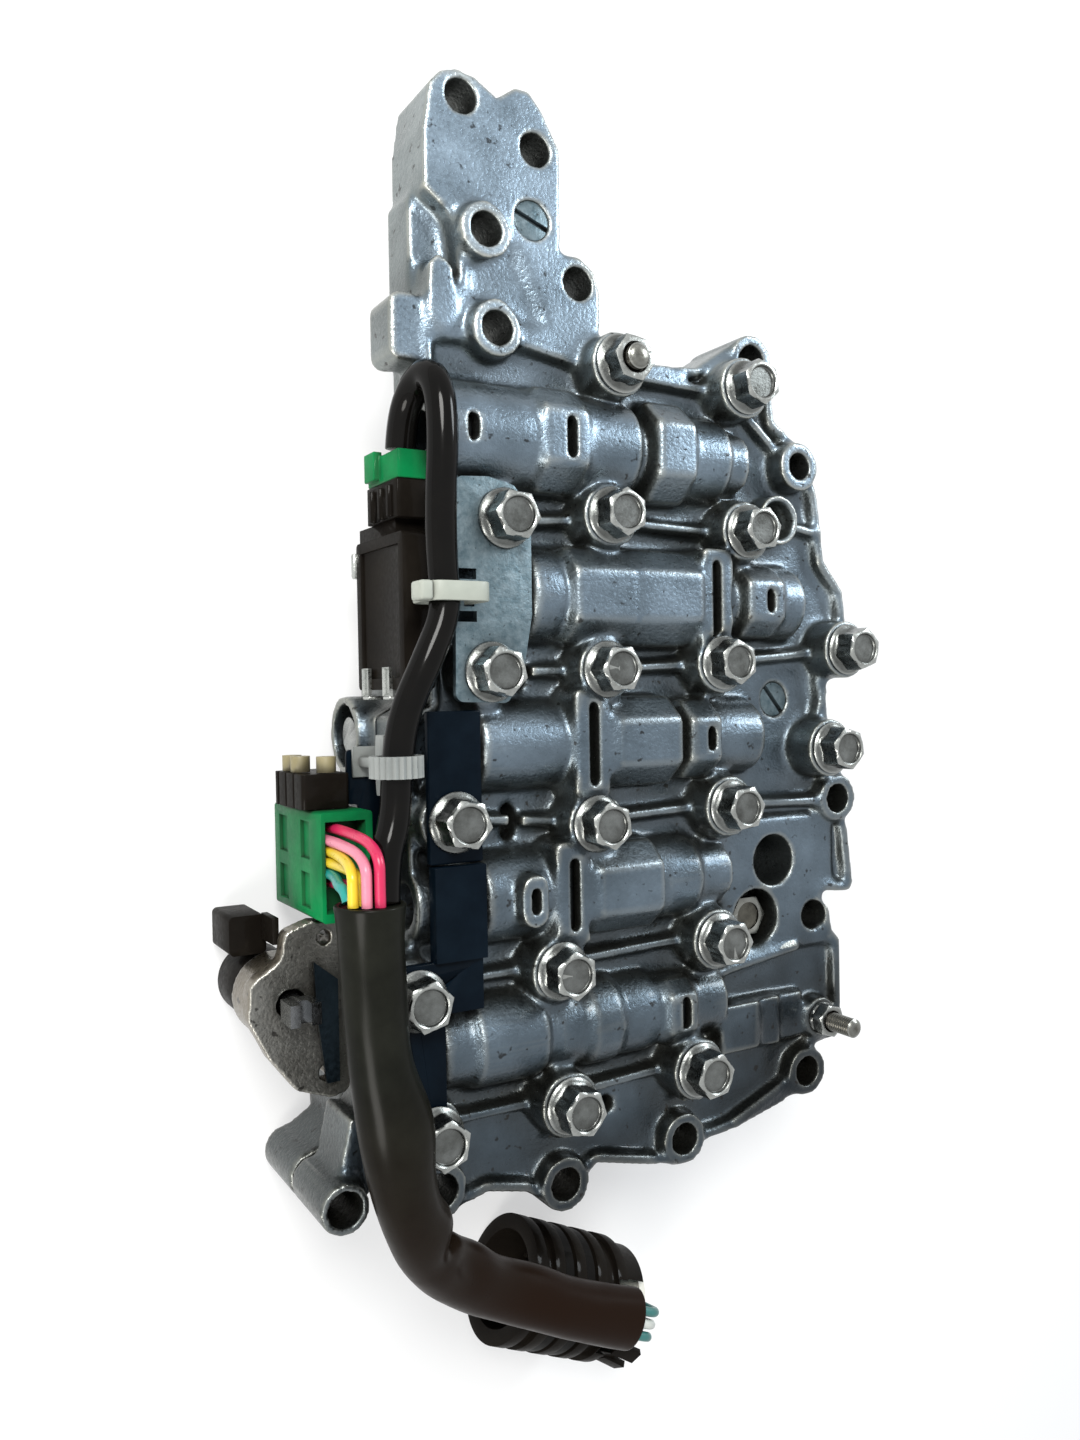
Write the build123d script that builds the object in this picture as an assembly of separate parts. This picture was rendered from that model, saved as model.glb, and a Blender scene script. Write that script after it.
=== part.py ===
from build123d import *
import os
from math import atan2, cos, degrees, hypot, radians, sin, tan

# Transmission valve body with its wiring, lying on its mounting face.
# Millimetres. X runs across the bolt face, Y up it and Z out of it.
# X and Y are counted from the middle bolt of the second row while modelling,
# and the origin moves to the middle of the mounting face when a piece is written.

# Place of the origin, seen from the reference bolt
origin_x = -0.35
origin_y = -33.65

# Stack of the two castings and the steel plate between them
rear_depth = 24.0
plate_thickness = 1.2
front_depth = 24.8
seat_height = rear_depth + plate_thickness + front_depth
seam_height = rear_depth + plate_thickness

# Levels of the front casting, counted down from the bolt seats
web_drop = 10.0
bore_drop = 10.5
rim_drop = 6.5
horn_drop = 6.5
boss_drop = 3.0
low_boss_drop = 5.0
pad_rise = 1.5
flat_pad_rise = 2.5
web_height = seat_height - web_drop
bore_height = seat_height - bore_drop
rim_height = seat_height - rim_drop
horn_height = seat_height - horn_drop
boss_height = seat_height - boss_drop
low_boss_height = seat_height - low_boss_drop
pad_height = seat_height + pad_rise
flat_pad_height = web_height + flat_pad_rise

# Outline of the castings
left_face = -45.0
left_foot = -61.0
side_step = -51.0
rim_width = 2.6
corner_radius = 2.5
end_softness = 2.0
shoulder_softness = 2.6

# Flange bolts, nuts and studs
bolt_radius = 3.0
bolt_hole_radius = 3.3
thread_gap = 0.05
bolt_reach = 14.0
head_across = 10.0
head_height = 5.6
head_dish = 0.9
dish_radius = 4.1
flange_radius = 7.0
flange_thickness = 1.4
boss_radius = 7.7
outer_column = 60.0
bolt_places = [
    (41.5, 35.0), (-29.0, -2.5), (0.0, 0.0), (41.5, -1.5),
    (-33.0, -37.0), (-2.0, -36.5), (33.0, -35.0), (76.0, -31.5),
    (-42.5, -70.0), (-5.5, -73.0), (35.0, -71.5), (70.0, -58.0),
    (-52.5, -108.0), (-16.0, -106.5), (30.5, -105.0),
    (-49.0, -138.5), (-14.0, -138.5), (24.0, -137.0),
]
nut_place = (3.0, 36.0)
nut_height = 5.2
stud_rise = 8.5
small_nut_place = (70.0, -132.5)
small_stud_radius = 2.5
small_nut_across = 8.0
small_nut_height = 4.5
small_stud_rise = 13.0
small_boss_radius = 5.6
sunk_bolt_place = (49.5, -103.0)
sunk_seat_drop = 16.5
counterbore_radius = 7.6

# Plain mounting holes
mount_hole_radius = 3.9
small_hole_radius = 3.5
ring_radius = 6.5
oil_port_place = (56.0, -88.0)
oil_port_radius = 6.8
tube_boss_place = (-68.0, -152.0)
tube_boss_radius = 5.6
tube_boss_length = 20.0
horn_holes = [(-34.7, 92.8), (-15.6, 85.0), (-4.3, 55.9)]
ring_bosses = [(-30.6, 62.7), (-28.2, 41.0)]
tall_rings = [(62.7, 17.5), (55.4, 2.7)]
rim_rings = [(48.2, 44.2), (77.3, -72.4), (64.9, -146.4), (22.9, -156.1), (-12.7, -159.4), (-45.4, -153.4)]
flat_holes = [(70.0, -104.4)]
passing_holes = tall_rings + flat_holes + [rim_rings[1], rim_rings[2], rim_rings[5]]
passing_radius = 4.4
drain_place = (2.4, -144.7)
drain_radius = 2.2

# Screwed passage plugs
plug_radius = 4.6
plug_depth = 7.0
plug_gap = 0.05
plug_slot = 1.3
plug_sink = 0.6
horn_plug_place = (-16.7, 68.5)
face_plug_place = (58.9, -44.7)

# Valve bores, one row between each two rows of bolts
bore_radius = 5.0
core_radius = 8.4
spool_gap = 0.05
groove_radius = 2.9
land_length = 5.0
bore_rows = [17.0, -19.0, -54.0, -89.0, -122.0]
end_gap = 0.3
key_thickness = 1.8
key_gap = 0.2
key_sink = 2.5
key_seat = bore_height - bore_radius + 1.0
wire_size = 0.9
coil_radius = 3.6
coil_turns = 5
slot_width = 2.4
port_width = 3.6
port_length = 9.0
drain_slots = [(-20.5, -37.6, 2.6, 7.5), (-24.1, -72.2, 3.2, 8.8)]

# Plates and ties on the bolt face
bracket_thickness = 1.6
cover_thickness = 2.0
tie_width = 4.4
tie_thickness = 1.3
tie_gap = 0.3
tie_y = -20.0
slot_step = 4.7
tie_left = -51.6
tie_right = -37.4

# Electronics box on the left side
side_gap = 0.3
box_thickness = 7.2
box_low = seam_height - 6.2
box_high = seat_height - 3.6
box_bottom = -40.5
box_top = -6.0
plug_top = 12.0
clip_thickness = 0.8

# Pressure solenoid in its round boss
solenoid_place_y = -51.5
solenoid_height = 11.8
solenoid_boss_radius = 9.6
solenoid_bore_radius = 7.6
solenoid_boss_reach = -54.0
solenoid_gap = 0.05

# Green wiring connector and the terminal block above it
green_left = -70.0
green_right = -58.2
green_bottom = -91.0
green_top = -67.0
green_low = 7.0
green_high = 40.0
green_wall = 1.6
sheet_thickness = 1.0
sheet_height = 30.0
wire_radius = 1.15

# Stepper motor hanging on its cast bracket
motor_x = -74.8
motor_y = -109.5
motor_radius = 8.5
motor_end = 2.0
collar_radius = 9.6
collar_length = 9.0
motor_flange = 4.6
rod_radius = 2.5
rod_gap = 0.05

# Wiring conduits
thin_radius = 3.4
thick_radius = 6.8
case_radius = 15.8
case_bore_radius = 12.0
case_length = 37.0
case_socket = 14.0
case_recess = 10.0
case_x = -15.7
case_y = -193.9
case_turn = -24.8
retainer_radius = 12.3
retainer_wall = 2.0
tail_rows = [32.6, 35.4]
tail_depth = -2.6

rows = range(len(bore_rows))
low = Align.MIN
mid = Align.CENTER


def disc(place, radius, bottom, top):
    return Pos(place[0], place[1], bottom) * Cylinder(radius, top - bottom, align=(mid, mid, low))


def block(x_from, x_to, y_from, y_to, bottom, top):
    size = (x_to - x_from, y_to - y_from, top - bottom)
    return Pos(x_from, y_from, bottom) * Box(*size, align=(low, low, low))


def raised(face, bottom, top):
    return Pos(0, 0, bottom) * extrude(face, top - bottom, dir=(0, 0, 1))


def prism(points, bottom, top):
    return raised(Polygon(*points, align=None), bottom, top)


def bar(x_from, x_to, y, z, radius):
    turned = Rot(0, 90, 0) * Cylinder(radius, x_to - x_from, align=(mid, mid, low))
    return Pos(x_from, y, z) * turned


def hexagon(across):
    return RegularPolygon(across / 2, 6, major_radius=False)


def rib(start, end, width, bottom, top):
    # straight wall from one point to another
    across = end[0] - start[0]
    along = end[1] - start[1]
    angle = degrees(atan2(along, across))
    wall = Box(hypot(across, along), width, top - bottom, align=(low, mid, low))
    return Pos(start[0], start[1], bottom) * Rot(0, 0, angle) * wall


def barrel(x_from, x_to, y, radius):
    # round stretch of a bore's casting with soft ends
    soft = min(end_softness, (x_to - x_from) * 0.3)
    core = bar(x_from, x_to, y, bore_height, radius)
    return fillet(core.edges().filter_by(GeomType.CIRCLE), soft)


def bulge(x_from, x_to, y, width, top):
    # flat topped stretch of a bore's casting with sloping shoulders and soft ends
    half = width / 2
    base = seam_height + 1
    shoulder = top - half * 0.55
    flat = half * 0.5
    points = [(-half, base), (-half, shoulder), (-flat, top), (flat, top), (half, shoulder), (half, base)]
    profile = Polygon(*points, align=None)
    profile = fillet(profile.vertices().sort_by(Axis.Y)[2:], shoulder_softness)
    section = Plane.YZ.offset(x_from) * Pos(y, 0) * profile
    solid = extrude(section, x_to - x_from, dir=(1, 0, 0))
    return fillet(solid.faces().filter_by(Axis.X).edges(), end_softness)


def slot_pad(x_from, x_to, y, width):
    # flat pad round a long slot
    pad = block(x_from, x_to, y - width / 2, y + width / 2, web_height - 1, pad_height)
    return fillet(pad.edges().filter_by(Axis.Z), end_softness)


def slot(x, y, width, length, bottom, top):
    return Pos(x, y, 0) * raised(Rot(0, 0, 90) * SlotOverall(length, width), bottom, top)


def move_out(piece):
    return Pos(-origin_x, -origin_y, 0) * piece


def group(pieces):
    return Compound([solid for piece in pieces for solid in piece.solids()])


# Outline of the main body, walked clockwise from the horn's foot
body_outline = [
    (left_face, 40.0), (-6.0, 42.0), (8.0, 42.5), (17.0, 39.5), (31.0, 40.5), (42.0, 47.5),
    (49.0, 50.5), (55.5, 45.0), (57.0, 29.5), (69.0, 22.5), (72.5, 9.4), (74.5, -6.8),
    (81.5, -15.0), (82.6, -24.0), (73.5, -40.0), (76.0, -50.0), (80.5, -66.0), (82.1, -78.5),
    (84.4, -96.9), (82.8, -99.0), (71.9, -97.9), (73.4, -100.8), (75.2, -103.4), (76.1, -109.0),
    (79.0, -112.0), (79.2, -137.4), (77.6, -139.0), (66.5, -141.0), (63.5, -152.5), (41.0, -157.6),
    (31.0, -158.5), (21.0, -163.0), (8.7, -160.0),
    (-3.0, -157.0), (-12.7, -166.0), (-22.7, -159.5), (-33.0, -157.0), (-44.0, -160.0),
    (-52.5, -155.0), (left_foot, -149.0), (left_foot, -117.0), (-58.0, -112.0), (-58.0, -101.0),
    (side_step, -97.0), (side_step, -47.0), (left_face, -44.0),
]
horn_outline = [
    (-38.5, 39.0), (-35.8, 49.0), (-36.5, 60.0), (-37.8, 66.0), (-44.4, 71.0), (-44.2, 84.0),
    (-42.6, 94.0), (-39.7, 97.3), (-35.7, 98.6), (-31.0, 97.8), (-25.4, 94.6), (-20.5, 98.2),
    (-17.0, 98.0), (-13.4, 94.0), (-8.8, 86.0), (-9.0, 62.5), (-4.0, 62.3), (0.2, 59.5),
    (2.0, 54.0), (2.0, 43.0), (-3.0, 39.0),
]
horn_dish = [(-33.2, 55.8), (-25.4, 59.9), (-22.0, 62.4), (-13.7, 45.3),
             (-18.4, 43.2), (-24.6, 48.2), (-31.4, 47.6), (-33.9, 49.4)]
rear_outline = [
    (-38.0, 6.0), (-26.0, 20.0), (-8.0, 38.0), (38.0, 38.5), (50.0, 33.0), (66.0, 14.0),
    (70.0, -10.0), (78.0, -22.0), (76.0, -44.0), (76.0, -66.0), (72.0, -88.0), (65.0, -96.0),
    (65.0, -112.0), (72.0, -118.0), (70.0, -138.0), (60.0, -148.0), (18.0, -150.0),
    (-52.0, -152.0), (left_foot, -149.0), (left_foot, -117.0), (-57.0, -110.0), (-57.0, -101.0),
    (side_step, -97.0), (side_step, -47.0), (left_face, -44.0), (left_face, -12.0), (-38.0, -8.0),
]


def outline(points):
    return fillet(Polygon(*points, align=None).vertices(), corner_radius * 0.6)


def rim_wall():
    face = outline(body_outline)
    ring = face - offset(face, -rim_width)
    return raised(ring, seam_height + 1, rim_height)


def row_bulges():
    top = pad_height
    row_1, row_2, row_3, row_4, row_5 = bore_rows
    ends = [(left_face, 44.7), (-21.0, 62.5), (-34.0, 47.5), (side_step, 37.5), (-45.0, 35.5)]
    shapes = [bar(start, end, y, bore_height, core_radius) for (start, end), y in zip(ends, bore_rows)]
    shapes += [barrel(left_face, -20.3, row_1, 12.5), bulge(-20.3, -6.2, row_1, 25.0, top + 1.0)]
    shapes += [barrel(-7.6, 9.2, row_1, 12.2), bulge(12.3, 25.0, row_1, 25.0, top + 1.0)]
    shapes += [barrel(24.0, 38.0, row_1, 11.0)]
    shapes += [barrel(-22.0, -12.6, row_2, 11.5), bulge(-12.4, 6.6, row_2, 23.4, top + 1.0)]
    shapes += [bulge(5.2, 26.4, row_2, 23.8, top + 1.0), slot_pad(26.0, 35.8, row_2, 25.0)]
    shapes += [bulge(40.6, 54.0, row_2, 19.0, top), barrel(53.0, 63.0, row_2, 10.0)]
    shapes += [barrel(-35.4, -12.0, row_3, 10.5), slot_pad(-12.0, -1.8, row_3, 26.0)]
    shapes += [bulge(-1.6, 19.2, row_3, 22.0, top + 1.0), bulge(21.2, 32.0, row_3, 20.0, top + 0.5)]
    shapes += [barrel(32.2, 48.5, row_3, 9.8)]
    shapes += [barrel(-35.4, -17.2, row_4, 10.8), slot_pad(-17.8, -8.4, row_4, 25.0)]
    shapes += [bulge(-7.6, 13.2, row_4, 22.0, top + 1.0), barrel(13.8, 27.2, row_4, 10.5)]
    shapes += [barrel(-46.0, -37.6, row_5, 9.4), barrel(-38.0, -18.2, row_5, 11.0)]
    shapes += [barrel(-17.8, -7.8, row_5, 9.8), barrel(-8.0, 2.9, row_5, 11.0)]
    shapes += [barrel(2.7, 14.0, row_5, 10.2), bulge(13.9, 24.1, row_5, 17.0, top - 0.5)]
    return shapes


def short_rings():
    # raised rim round the small slot of the manual valve
    spots = [(place[0], place[1]) for place in outer_keys[1:]]
    return [slot(x, y, slot_width + 5, slot_lengths[0] + 6, web_height, pad_height + 2) for x, y in spots]


def stiffening_ribs():
    wall = 2.6
    base = web_height - 1
    tops = rim_height + 0.5
    lines = [((33, -35), (60, -33)), ((60, -33), (76, -31.5)), ((35, -71.5), (77, -73))]
    lines += [((55, 2.7), (73, 0.5)), ((41.5, 35), (62.7, 17.5)), ((24, -137), (42, -133))]
    lines += [((-5.5, -73), (-42, -70)), ((-5.5, -73), (35, -71.5)), ((-2, -36.5), (33, -35))]
    lines += [((-16, -106.5), (-50, -107)), ((-16, -106.5), (30.5, -105)), ((-14, -138.5), (24, -137))]
    lines += [((-14, -138.5), (-49, -138.5)), ((-28.2, 41), (3, 36)), ((0, 0), (41.5, -1.5))]
    lines += [((-29, -2.5), (0, 0)), ((-33, -37), (-2, -36.5)), ((3, 36), (41.5, 35))]
    lines += [((48.2, 44.2), (41.5, 35)), ((70, -58), (77.3, -72.4)), ((76, -31.5), (70, -58))]
    lines += [((64.9, -146.4), (40, -156)), ((26, -117), (64, -112))]
    return [rib(a, b, wall, base, tops) for a, b in lines]


def cross_ribs():
    # short walls that tie each bolt boss to the bulges above and below it
    tops = seat_height - 3.0
    reach = boss_radius + 1.0
    half = 3.2
    tied = [place for place in bolt_places[1:] if place[0] < outer_column]
    return [block(x - half, x + half, y - reach, y + reach, web_height - 1, tops) for x, y in tied]


def ramp():
    # broad stepped rise from the last row to the small stud
    high = block(34.0, 48.0, -136.5, -124.2, web_height - 1, web_height + 6.0)
    middle = block(34.0, 56.0, -137.0, -124.2, web_height - 1, web_height + 4.5)
    foot = block(34.0, 65.5, -137.5, -124.4, web_height - 1, web_height + 3.0)
    return high + middle + foot


def bore_of(x_from, x_to, row):
    return bar(x_from, x_to, bore_rows[row], bore_height, bore_radius)


# Each row: where its bore starts, the side that it is open to and its pieces.
# A spool rests against the blind end and its spring pushes it there.
row_open = [left_face, 62.5, 48.5, side_step, 36.0]
row_blind = [38.5, -18.0, -32.0, 35.5, -42.0]
row_key = [-37.1, 30.7, 28.1, -12.6, 19.7]
row_plug = [6.0, 6.0, 5.0, 6.0, 6.0]
row_spring = [17.0, 16.0, 14.0, 14.0, 15.0]
manual_from = -46.5
manual_length = 20.0
outer_plug = (40.3, 47.2)
slot_lengths = [6.0, 19.0, 6.0, 17.0, 8.0]
outer_keys = [(48.4, bore_rows[1], 6.0), (-24.3, bore_rows[3], 6.0)]
blind_slots = [(-12.0, bore_rows[0], 9.5), (-6.6, bore_rows[2], 19.5)]


def sign(row):
    # plus one where the blind end lies to the right of the open end
    return 1 if row_blind[row] > row_open[row] else -1


def plug_span(row):
    outer = row_key[row] + sign(row) * (key_thickness / 2 + key_gap)
    return outer, outer + sign(row) * row_plug[row]


def spring_span(row):
    start = plug_span(row)[1] + sign(row) * end_gap
    return start, start + sign(row) * row_spring[row]


def spool_span(row):
    start = spring_span(row)[1] + sign(row) * end_gap
    return start, row_blind[row] - sign(row) * end_gap


def front_casting():
    body = raised(outline(body_outline), seam_height, web_height)
    horn = prism(horn_outline, seam_height, horn_height)
    step = block(left_face - 0.6, -30.0, 34.0, 72.0, seam_height, horn_height - 6.0)
    lug = block(left_face - 8.0, left_face + 1, 32.0, 47.0, seat_height - 19.0, seat_height - 7.0)
    horn_parts = [horn, fillet(step.edges().filter_by(Axis.Z), 1.5)]
    horn_parts += [fillet(lug.edges().filter_by(Axis.Z), 3.0)]
    bosses = [disc(place, boss_radius, seam_height + 1, top_of_seat(place)) for place in bolt_places]
    bosses += [disc(nut_place, boss_radius, seam_height + 1, seat_height)]
    high_rings = [disc(place, ring_radius, seam_height + 1, boss_height)
                  for place in ring_bosses + tall_rings]
    low_rings = [disc(place, ring_radius, seam_height, low_boss_height) for place in rim_rings]
    low_rings += [disc(small_nut_place, small_boss_radius, seam_height + 1, low_boss_height)]
    pads = [disc(sunk_bolt_place, counterbore_radius + 2.0, seam_height + 1, flat_pad_height)]
    pads += [block(38.0, 78.0, -113.0, -76.0, seam_height + 1, flat_pad_height) & base_column()]
    pads += [ramp() & base_column()]
    stages = [row_bulges(), horn_parts, [rim_wall()], short_rings(), stiffening_ribs(), cross_ribs()]
    stages += [bosses, high_rings, low_rings, pads, [tongue()], sleeve_boss()]
    for shapes in stages:
        body += shapes
    return body - front_cuts()


def sleeve_boss():
    # upper half of the open sleeve at the lower left, with the walls that carry it
    front = seat_height - low_boss_drop
    return [disc(tube_boss_place, tube_boss_radius, front - tube_boss_length, front),
            rib(tube_boss_place, (left_foot + 2, -146.0), 9.0, seam_height, front - 5.0),
            rib((-66.0, -147.0), (left_foot - 2.0, -134.5), 4.0, seam_height, front - 4.0),
            block(left_foot - 3.0, left_foot + 1, -149.0, -134.5, seam_height, front - 6.0)]


def base_column():
    return raised(outline(body_outline), seam_height, seat_height)


def tongue():
    points = [(-43.9, 53.6), (-41.9, 55.9), (-39.9, 55.6), (-38.0, 53.3), (-36.9, 49.7), (-36.5, 45.4),
              (-37.0, 42.4), (-39.0, 40.3), (-41.5, 39.1), (-43.5, 39.9), (-44.4, 41.7), (-44.3, 47.4)]
    return prism(points, web_height - 6, horn_height + 1.0)


def front_cuts():
    top = seat_height + 12
    cuts = [disc(place, bolt_hole_radius, seam_height - 1, top) for place in bolt_places + [nut_place]]
    cuts += [disc(place, mount_hole_radius, seam_height - 1, top) for place in horn_holes + ring_bosses]
    cuts += [disc(place, mount_hole_radius, seam_height - 1, top) for place in rim_rings + flat_holes]
    cuts += [disc(place, small_hole_radius, seam_height - 1, top) for place in tall_rings]
    cuts += [disc(tall_rings[1], ring_radius - 1.6, boss_height - 4, top)]
    cuts += [disc(tube_boss_place, mount_hole_radius, seam_height - 1, top)]
    cuts += [disc(oil_port_place, oil_port_radius, seam_height - 1, top)]
    cuts += [disc(drain_place, drain_radius, seam_height - 1, top)]
    cuts += [disc(small_nut_place, small_stud_radius + thread_gap, seam_height + 2, top)]
    cuts += [disc(sunk_bolt_place, bolt_hole_radius, seam_height - 1, top)]
    cuts += [disc(sunk_bolt_place, counterbore_radius, seat_height - sunk_seat_drop, top)]
    cuts += [disc(place, plug_radius, horn_height - plug_depth, top) for place in [horn_plug_place]]
    cuts += [disc(face_plug_place, plug_radius, web_height - plug_depth, top)]
    cuts += [prism(horn_dish, horn_height - 1.4, horn_height + 1)]
    cuts += [disc(rim_rings[0], mount_hole_radius + 0.5, low_boss_height, top)]
    cuts += [disc(place, boss_radius, top_of_seat(place), top) for place in bolt_places + [nut_place]]
    cuts += [disc(small_nut_place, small_boss_radius, low_boss_height, top)]
    for row in rows:
        outside = row_open[row] - sign(row) * 3
        ends = sorted((outside, row_blind[row]))
        cuts.append(bore_of(ends[0], ends[1], row))
    for x, y, length in key_places():
        cuts.append(slot(x, y, slot_width, length, key_seat, top))
    for x, y, length in blind_slots:
        cuts.append(slot(x, y, slot_width, length, bore_height + bore_radius + 1, top))
    for x, y, width, length in drain_slots:
        cuts.append(slot(x, y, width, length, web_height - 7, top))
    for x, row in ports():
        y = bore_rows[row]
        cuts.append(block(x, x + port_width, y - port_length / 2, y + port_length / 2,
                          seam_height - 1, bore_height))
    return cuts


def key_places():
    return [(row_key[n], bore_rows[n], slot_lengths[n]) for n in rows] + outer_keys


def ports():
    spots = [(x, 0) for x in (-20.0, 2.0, 18.0, 30.0)]
    spots += [(x, 1) for x in (-17.0, -6.0, 8.0)]
    spots += [(x, 2) for x in (-29.0, -20.0, 4.0)]
    spots += [(x, 3) for x in (-40.0, -31.0, 14.0)]
    spots += [(x, 4) for x in (-38.0, -26.0, -12.0)]
    return spots


def top_of_seat(place):
    # a bracket or cover plate lies between some bolts and their bosses
    if place in bracket_bolts:
        return seat_height - bracket_thickness
    if place in cover_bolts:
        return seat_height - cover_thickness
    return seat_height


bracket_bolts = [bolt_places[1], bolt_places[4]]
cover_bolts = [bolt_places[8], bolt_places[12], bolt_places[15]]


def separator_plate():
    face = offset(outline(rear_outline), -0.4)
    plate = raised(face, rear_depth, seam_height)
    plate += [disc(place, ring_radius, rear_depth, seam_height) for place in bolt_places]
    cuts = [disc(place, bolt_hole_radius, 0, seat_height) for place in bolt_places + [nut_place]]
    cuts += [disc(sunk_bolt_place, bolt_hole_radius, 0, seat_height)]
    cuts += [disc(oil_port_place, oil_port_radius, 0, seat_height)]
    cuts += [disc(drain_place, drain_radius, 0, seat_height)]
    cuts += [disc(place, passing_radius, 0, seat_height) for place in passing_holes]
    for x, row in ports():
        cuts.append(disc((x + port_width / 2, bore_rows[row]), port_width / 2 - 0.3, 0, seat_height))
    return plate - cuts


def rear_casting():
    body = raised(outline(rear_outline), 0, rear_depth)
    solid = [disc(place, boss_radius - 1, 0, rear_depth) for place in bolt_places + [nut_place]]
    solid += [bar(solenoid_boss_reach, left_face + 2, solenoid_place_y, solenoid_height,
                  solenoid_boss_radius)]
    solid += [disc(tube_boss_place, tube_boss_radius, 3.5, rear_depth)]
    solid += [rib(tube_boss_place, (left_foot + 4, -145.0), 9.0, 3.5, rear_depth)]
    body += solid
    top = rear_depth + 1
    depth = seat_height - front_depth - plate_thickness - bolt_reach - 1.0
    thread = bolt_radius + thread_gap
    cuts = [disc(place, thread, depth, top) for place in bolt_places + [nut_place, sunk_bolt_place]]
    cuts += [disc(tube_boss_place, mount_hole_radius, -1, top)]
    cuts += [disc(oil_port_place, oil_port_radius, -1, top)]
    cuts += [disc(drain_place, drain_radius, -1, top)]
    cuts += [disc(place, passing_radius, -1, top) for place in passing_holes]
    cuts += [bar(solenoid_boss_reach - 1, -20.0, solenoid_place_y, solenoid_height, solenoid_bore_radius)]
    for x, row in ports():
        y = bore_rows[row] - 2 + 4 * (row % 2)
        cuts.append(block(x, x + port_width, y - port_length, y + port_length, rear_depth - 6, top))
    cuts += rear_channels()
    cuts += ball_pockets()
    return body - cuts


def rear_channels():
    # oil ways open to the mounting face, between the bolt columns
    spots = [(-20, -20, 5, 24), (12, -18, 5, 26), (20, 14, 6, 18), (52, -20, 6, 26), (-30, -90, 5, 16)]
    spots += [(12, -56, 5, 20), (52, -60, 6, 20), (14, -92, 6, 22), (-34, -122, 6, 20), (4, -122, 5, 20)]
    spots += [(44, -126, 6, 22), (-14, -72, 5, 16), (52, -8, 5, 10), (-6, 18, 6, 14)]
    cuts = [slot(x, y, width, length, -1, 9) for x, y, width, length in spots]
    round_ports = [(28, -4), (-12, 4), (20, -76), (-26, -60), (56, -116), (-8, -104), (-44, -132)]
    cuts += [disc(place, 3.6, -1, 11) for place in round_ports]
    return cuts


ball_places = [(22.0, 4.0), (-14.0, -38.0), (16.0, -88.0), (-30.0, -108.0)]
ball_radius = 2.8


def ball_pockets():
    return [disc(place, ball_radius + 0.6, rear_depth - 2 * ball_radius - 0.5, rear_depth + 1)
            for place in ball_places]


def check_balls():
    height = rear_depth - ball_radius - 0.3
    return group(Pos(x, y, height) * Sphere(ball_radius) for x, y in ball_places)


def flange_bolt(place, seat, length):
    x, y = place
    body = extrude(hexagon(head_across), flange_thickness + head_height)
    chamfer_ring = Cone(9.6, head_across / 2 - 0.2, 4.0, align=(mid, mid, Align.MAX))
    head_top = flange_thickness + head_height
    body &= Pos(0, 0, head_top) * chamfer_ring + Cylinder(9.6, 4.0, align=(mid, mid, low))
    body += Cylinder(flange_radius, flange_thickness * 0.55, align=(mid, mid, low))
    body += Pos(0, 0, flange_thickness * 0.55) * Cone(flange_radius, flange_radius - 1.6, 1.2,
                                                     align=(mid, mid, low))
    body -= Pos(0, 0, head_top - head_dish) * Cylinder(dish_radius, 2, align=(mid, mid, low))
    body += Cylinder(bolt_radius, length, align=(mid, mid, Align.MAX))
    return Pos(x, y, seat) * body


def body_bolts():
    length = seat_height - rear_depth + bolt_reach
    return group(flange_bolt(place, seat_height, length) for place in bolt_places)


def sunk_bolt():
    seat = seat_height - sunk_seat_drop
    length = seat - rear_depth + bolt_reach
    top = extrude(hexagon(head_across), head_height)
    top -= Pos(0, 0, head_height - 0.6) * Cylinder(dish_radius - 0.4, 2, align=(mid, mid, low))
    bolt = top + Cylinder(bolt_radius, length, align=(mid, mid, Align.MAX))
    return Pos(sunk_bolt_place[0], sunk_bolt_place[1], seat) * bolt


def body_stud():
    bottom = rear_depth - bolt_reach
    return disc(nut_place, bolt_radius, bottom, seat_height + stud_rise)


def flange_nut():
    nut = extrude(hexagon(head_across), nut_height + flange_thickness)
    nut += Cylinder(flange_radius, flange_thickness, align=(mid, mid, low))
    nut -= Cylinder(bolt_radius + thread_gap, 30)
    return Pos(nut_place[0], nut_place[1], seat_height) * nut


def small_stud():
    return disc(small_nut_place, small_stud_radius, seam_height + 3, low_boss_height + small_stud_rise)


def small_nut():
    nut = extrude(hexagon(small_nut_across), small_nut_height)
    nut += Cylinder(small_nut_across * 0.56, 1.0, align=(mid, mid, low))
    nut -= Cylinder(small_stud_radius + thread_gap, 30)
    return Pos(small_nut_place[0], small_nut_place[1], low_boss_height) * nut


def passage_plug(place, top, turn):
    length = plug_depth - plug_sink - 0.1
    plug = Cylinder(plug_radius - plug_gap, length, align=(mid, mid, Align.MAX))
    plug -= Pos(0, 0, -1.4) * Rot(0, 0, turn) * Box(20, plug_slot, 4, align=(mid, mid, low))
    return Pos(place[0], place[1], top - plug_sink) * plug


def passage_plugs():
    return group([passage_plug(horn_plug_place, horn_height, -20),
                  passage_plug(face_plug_place, web_height, -50)])


def spool(x_from, x_to, row):
    # round lands with turned down necks between them, and a spring seat at one end
    length = x_to - x_from
    lands = max(2, int(length // (land_length + 4)) + 1)
    neck = (length - lands * land_length) / (lands - 1)
    y = bore_rows[row]
    body = bar(x_from, x_to, y, bore_height, groove_radius)
    for n in range(lands):
        start = x_from + n * (land_length + neck)
        body += bar(start, start + land_length, y, bore_height, bore_radius - spool_gap)
    return body


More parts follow.
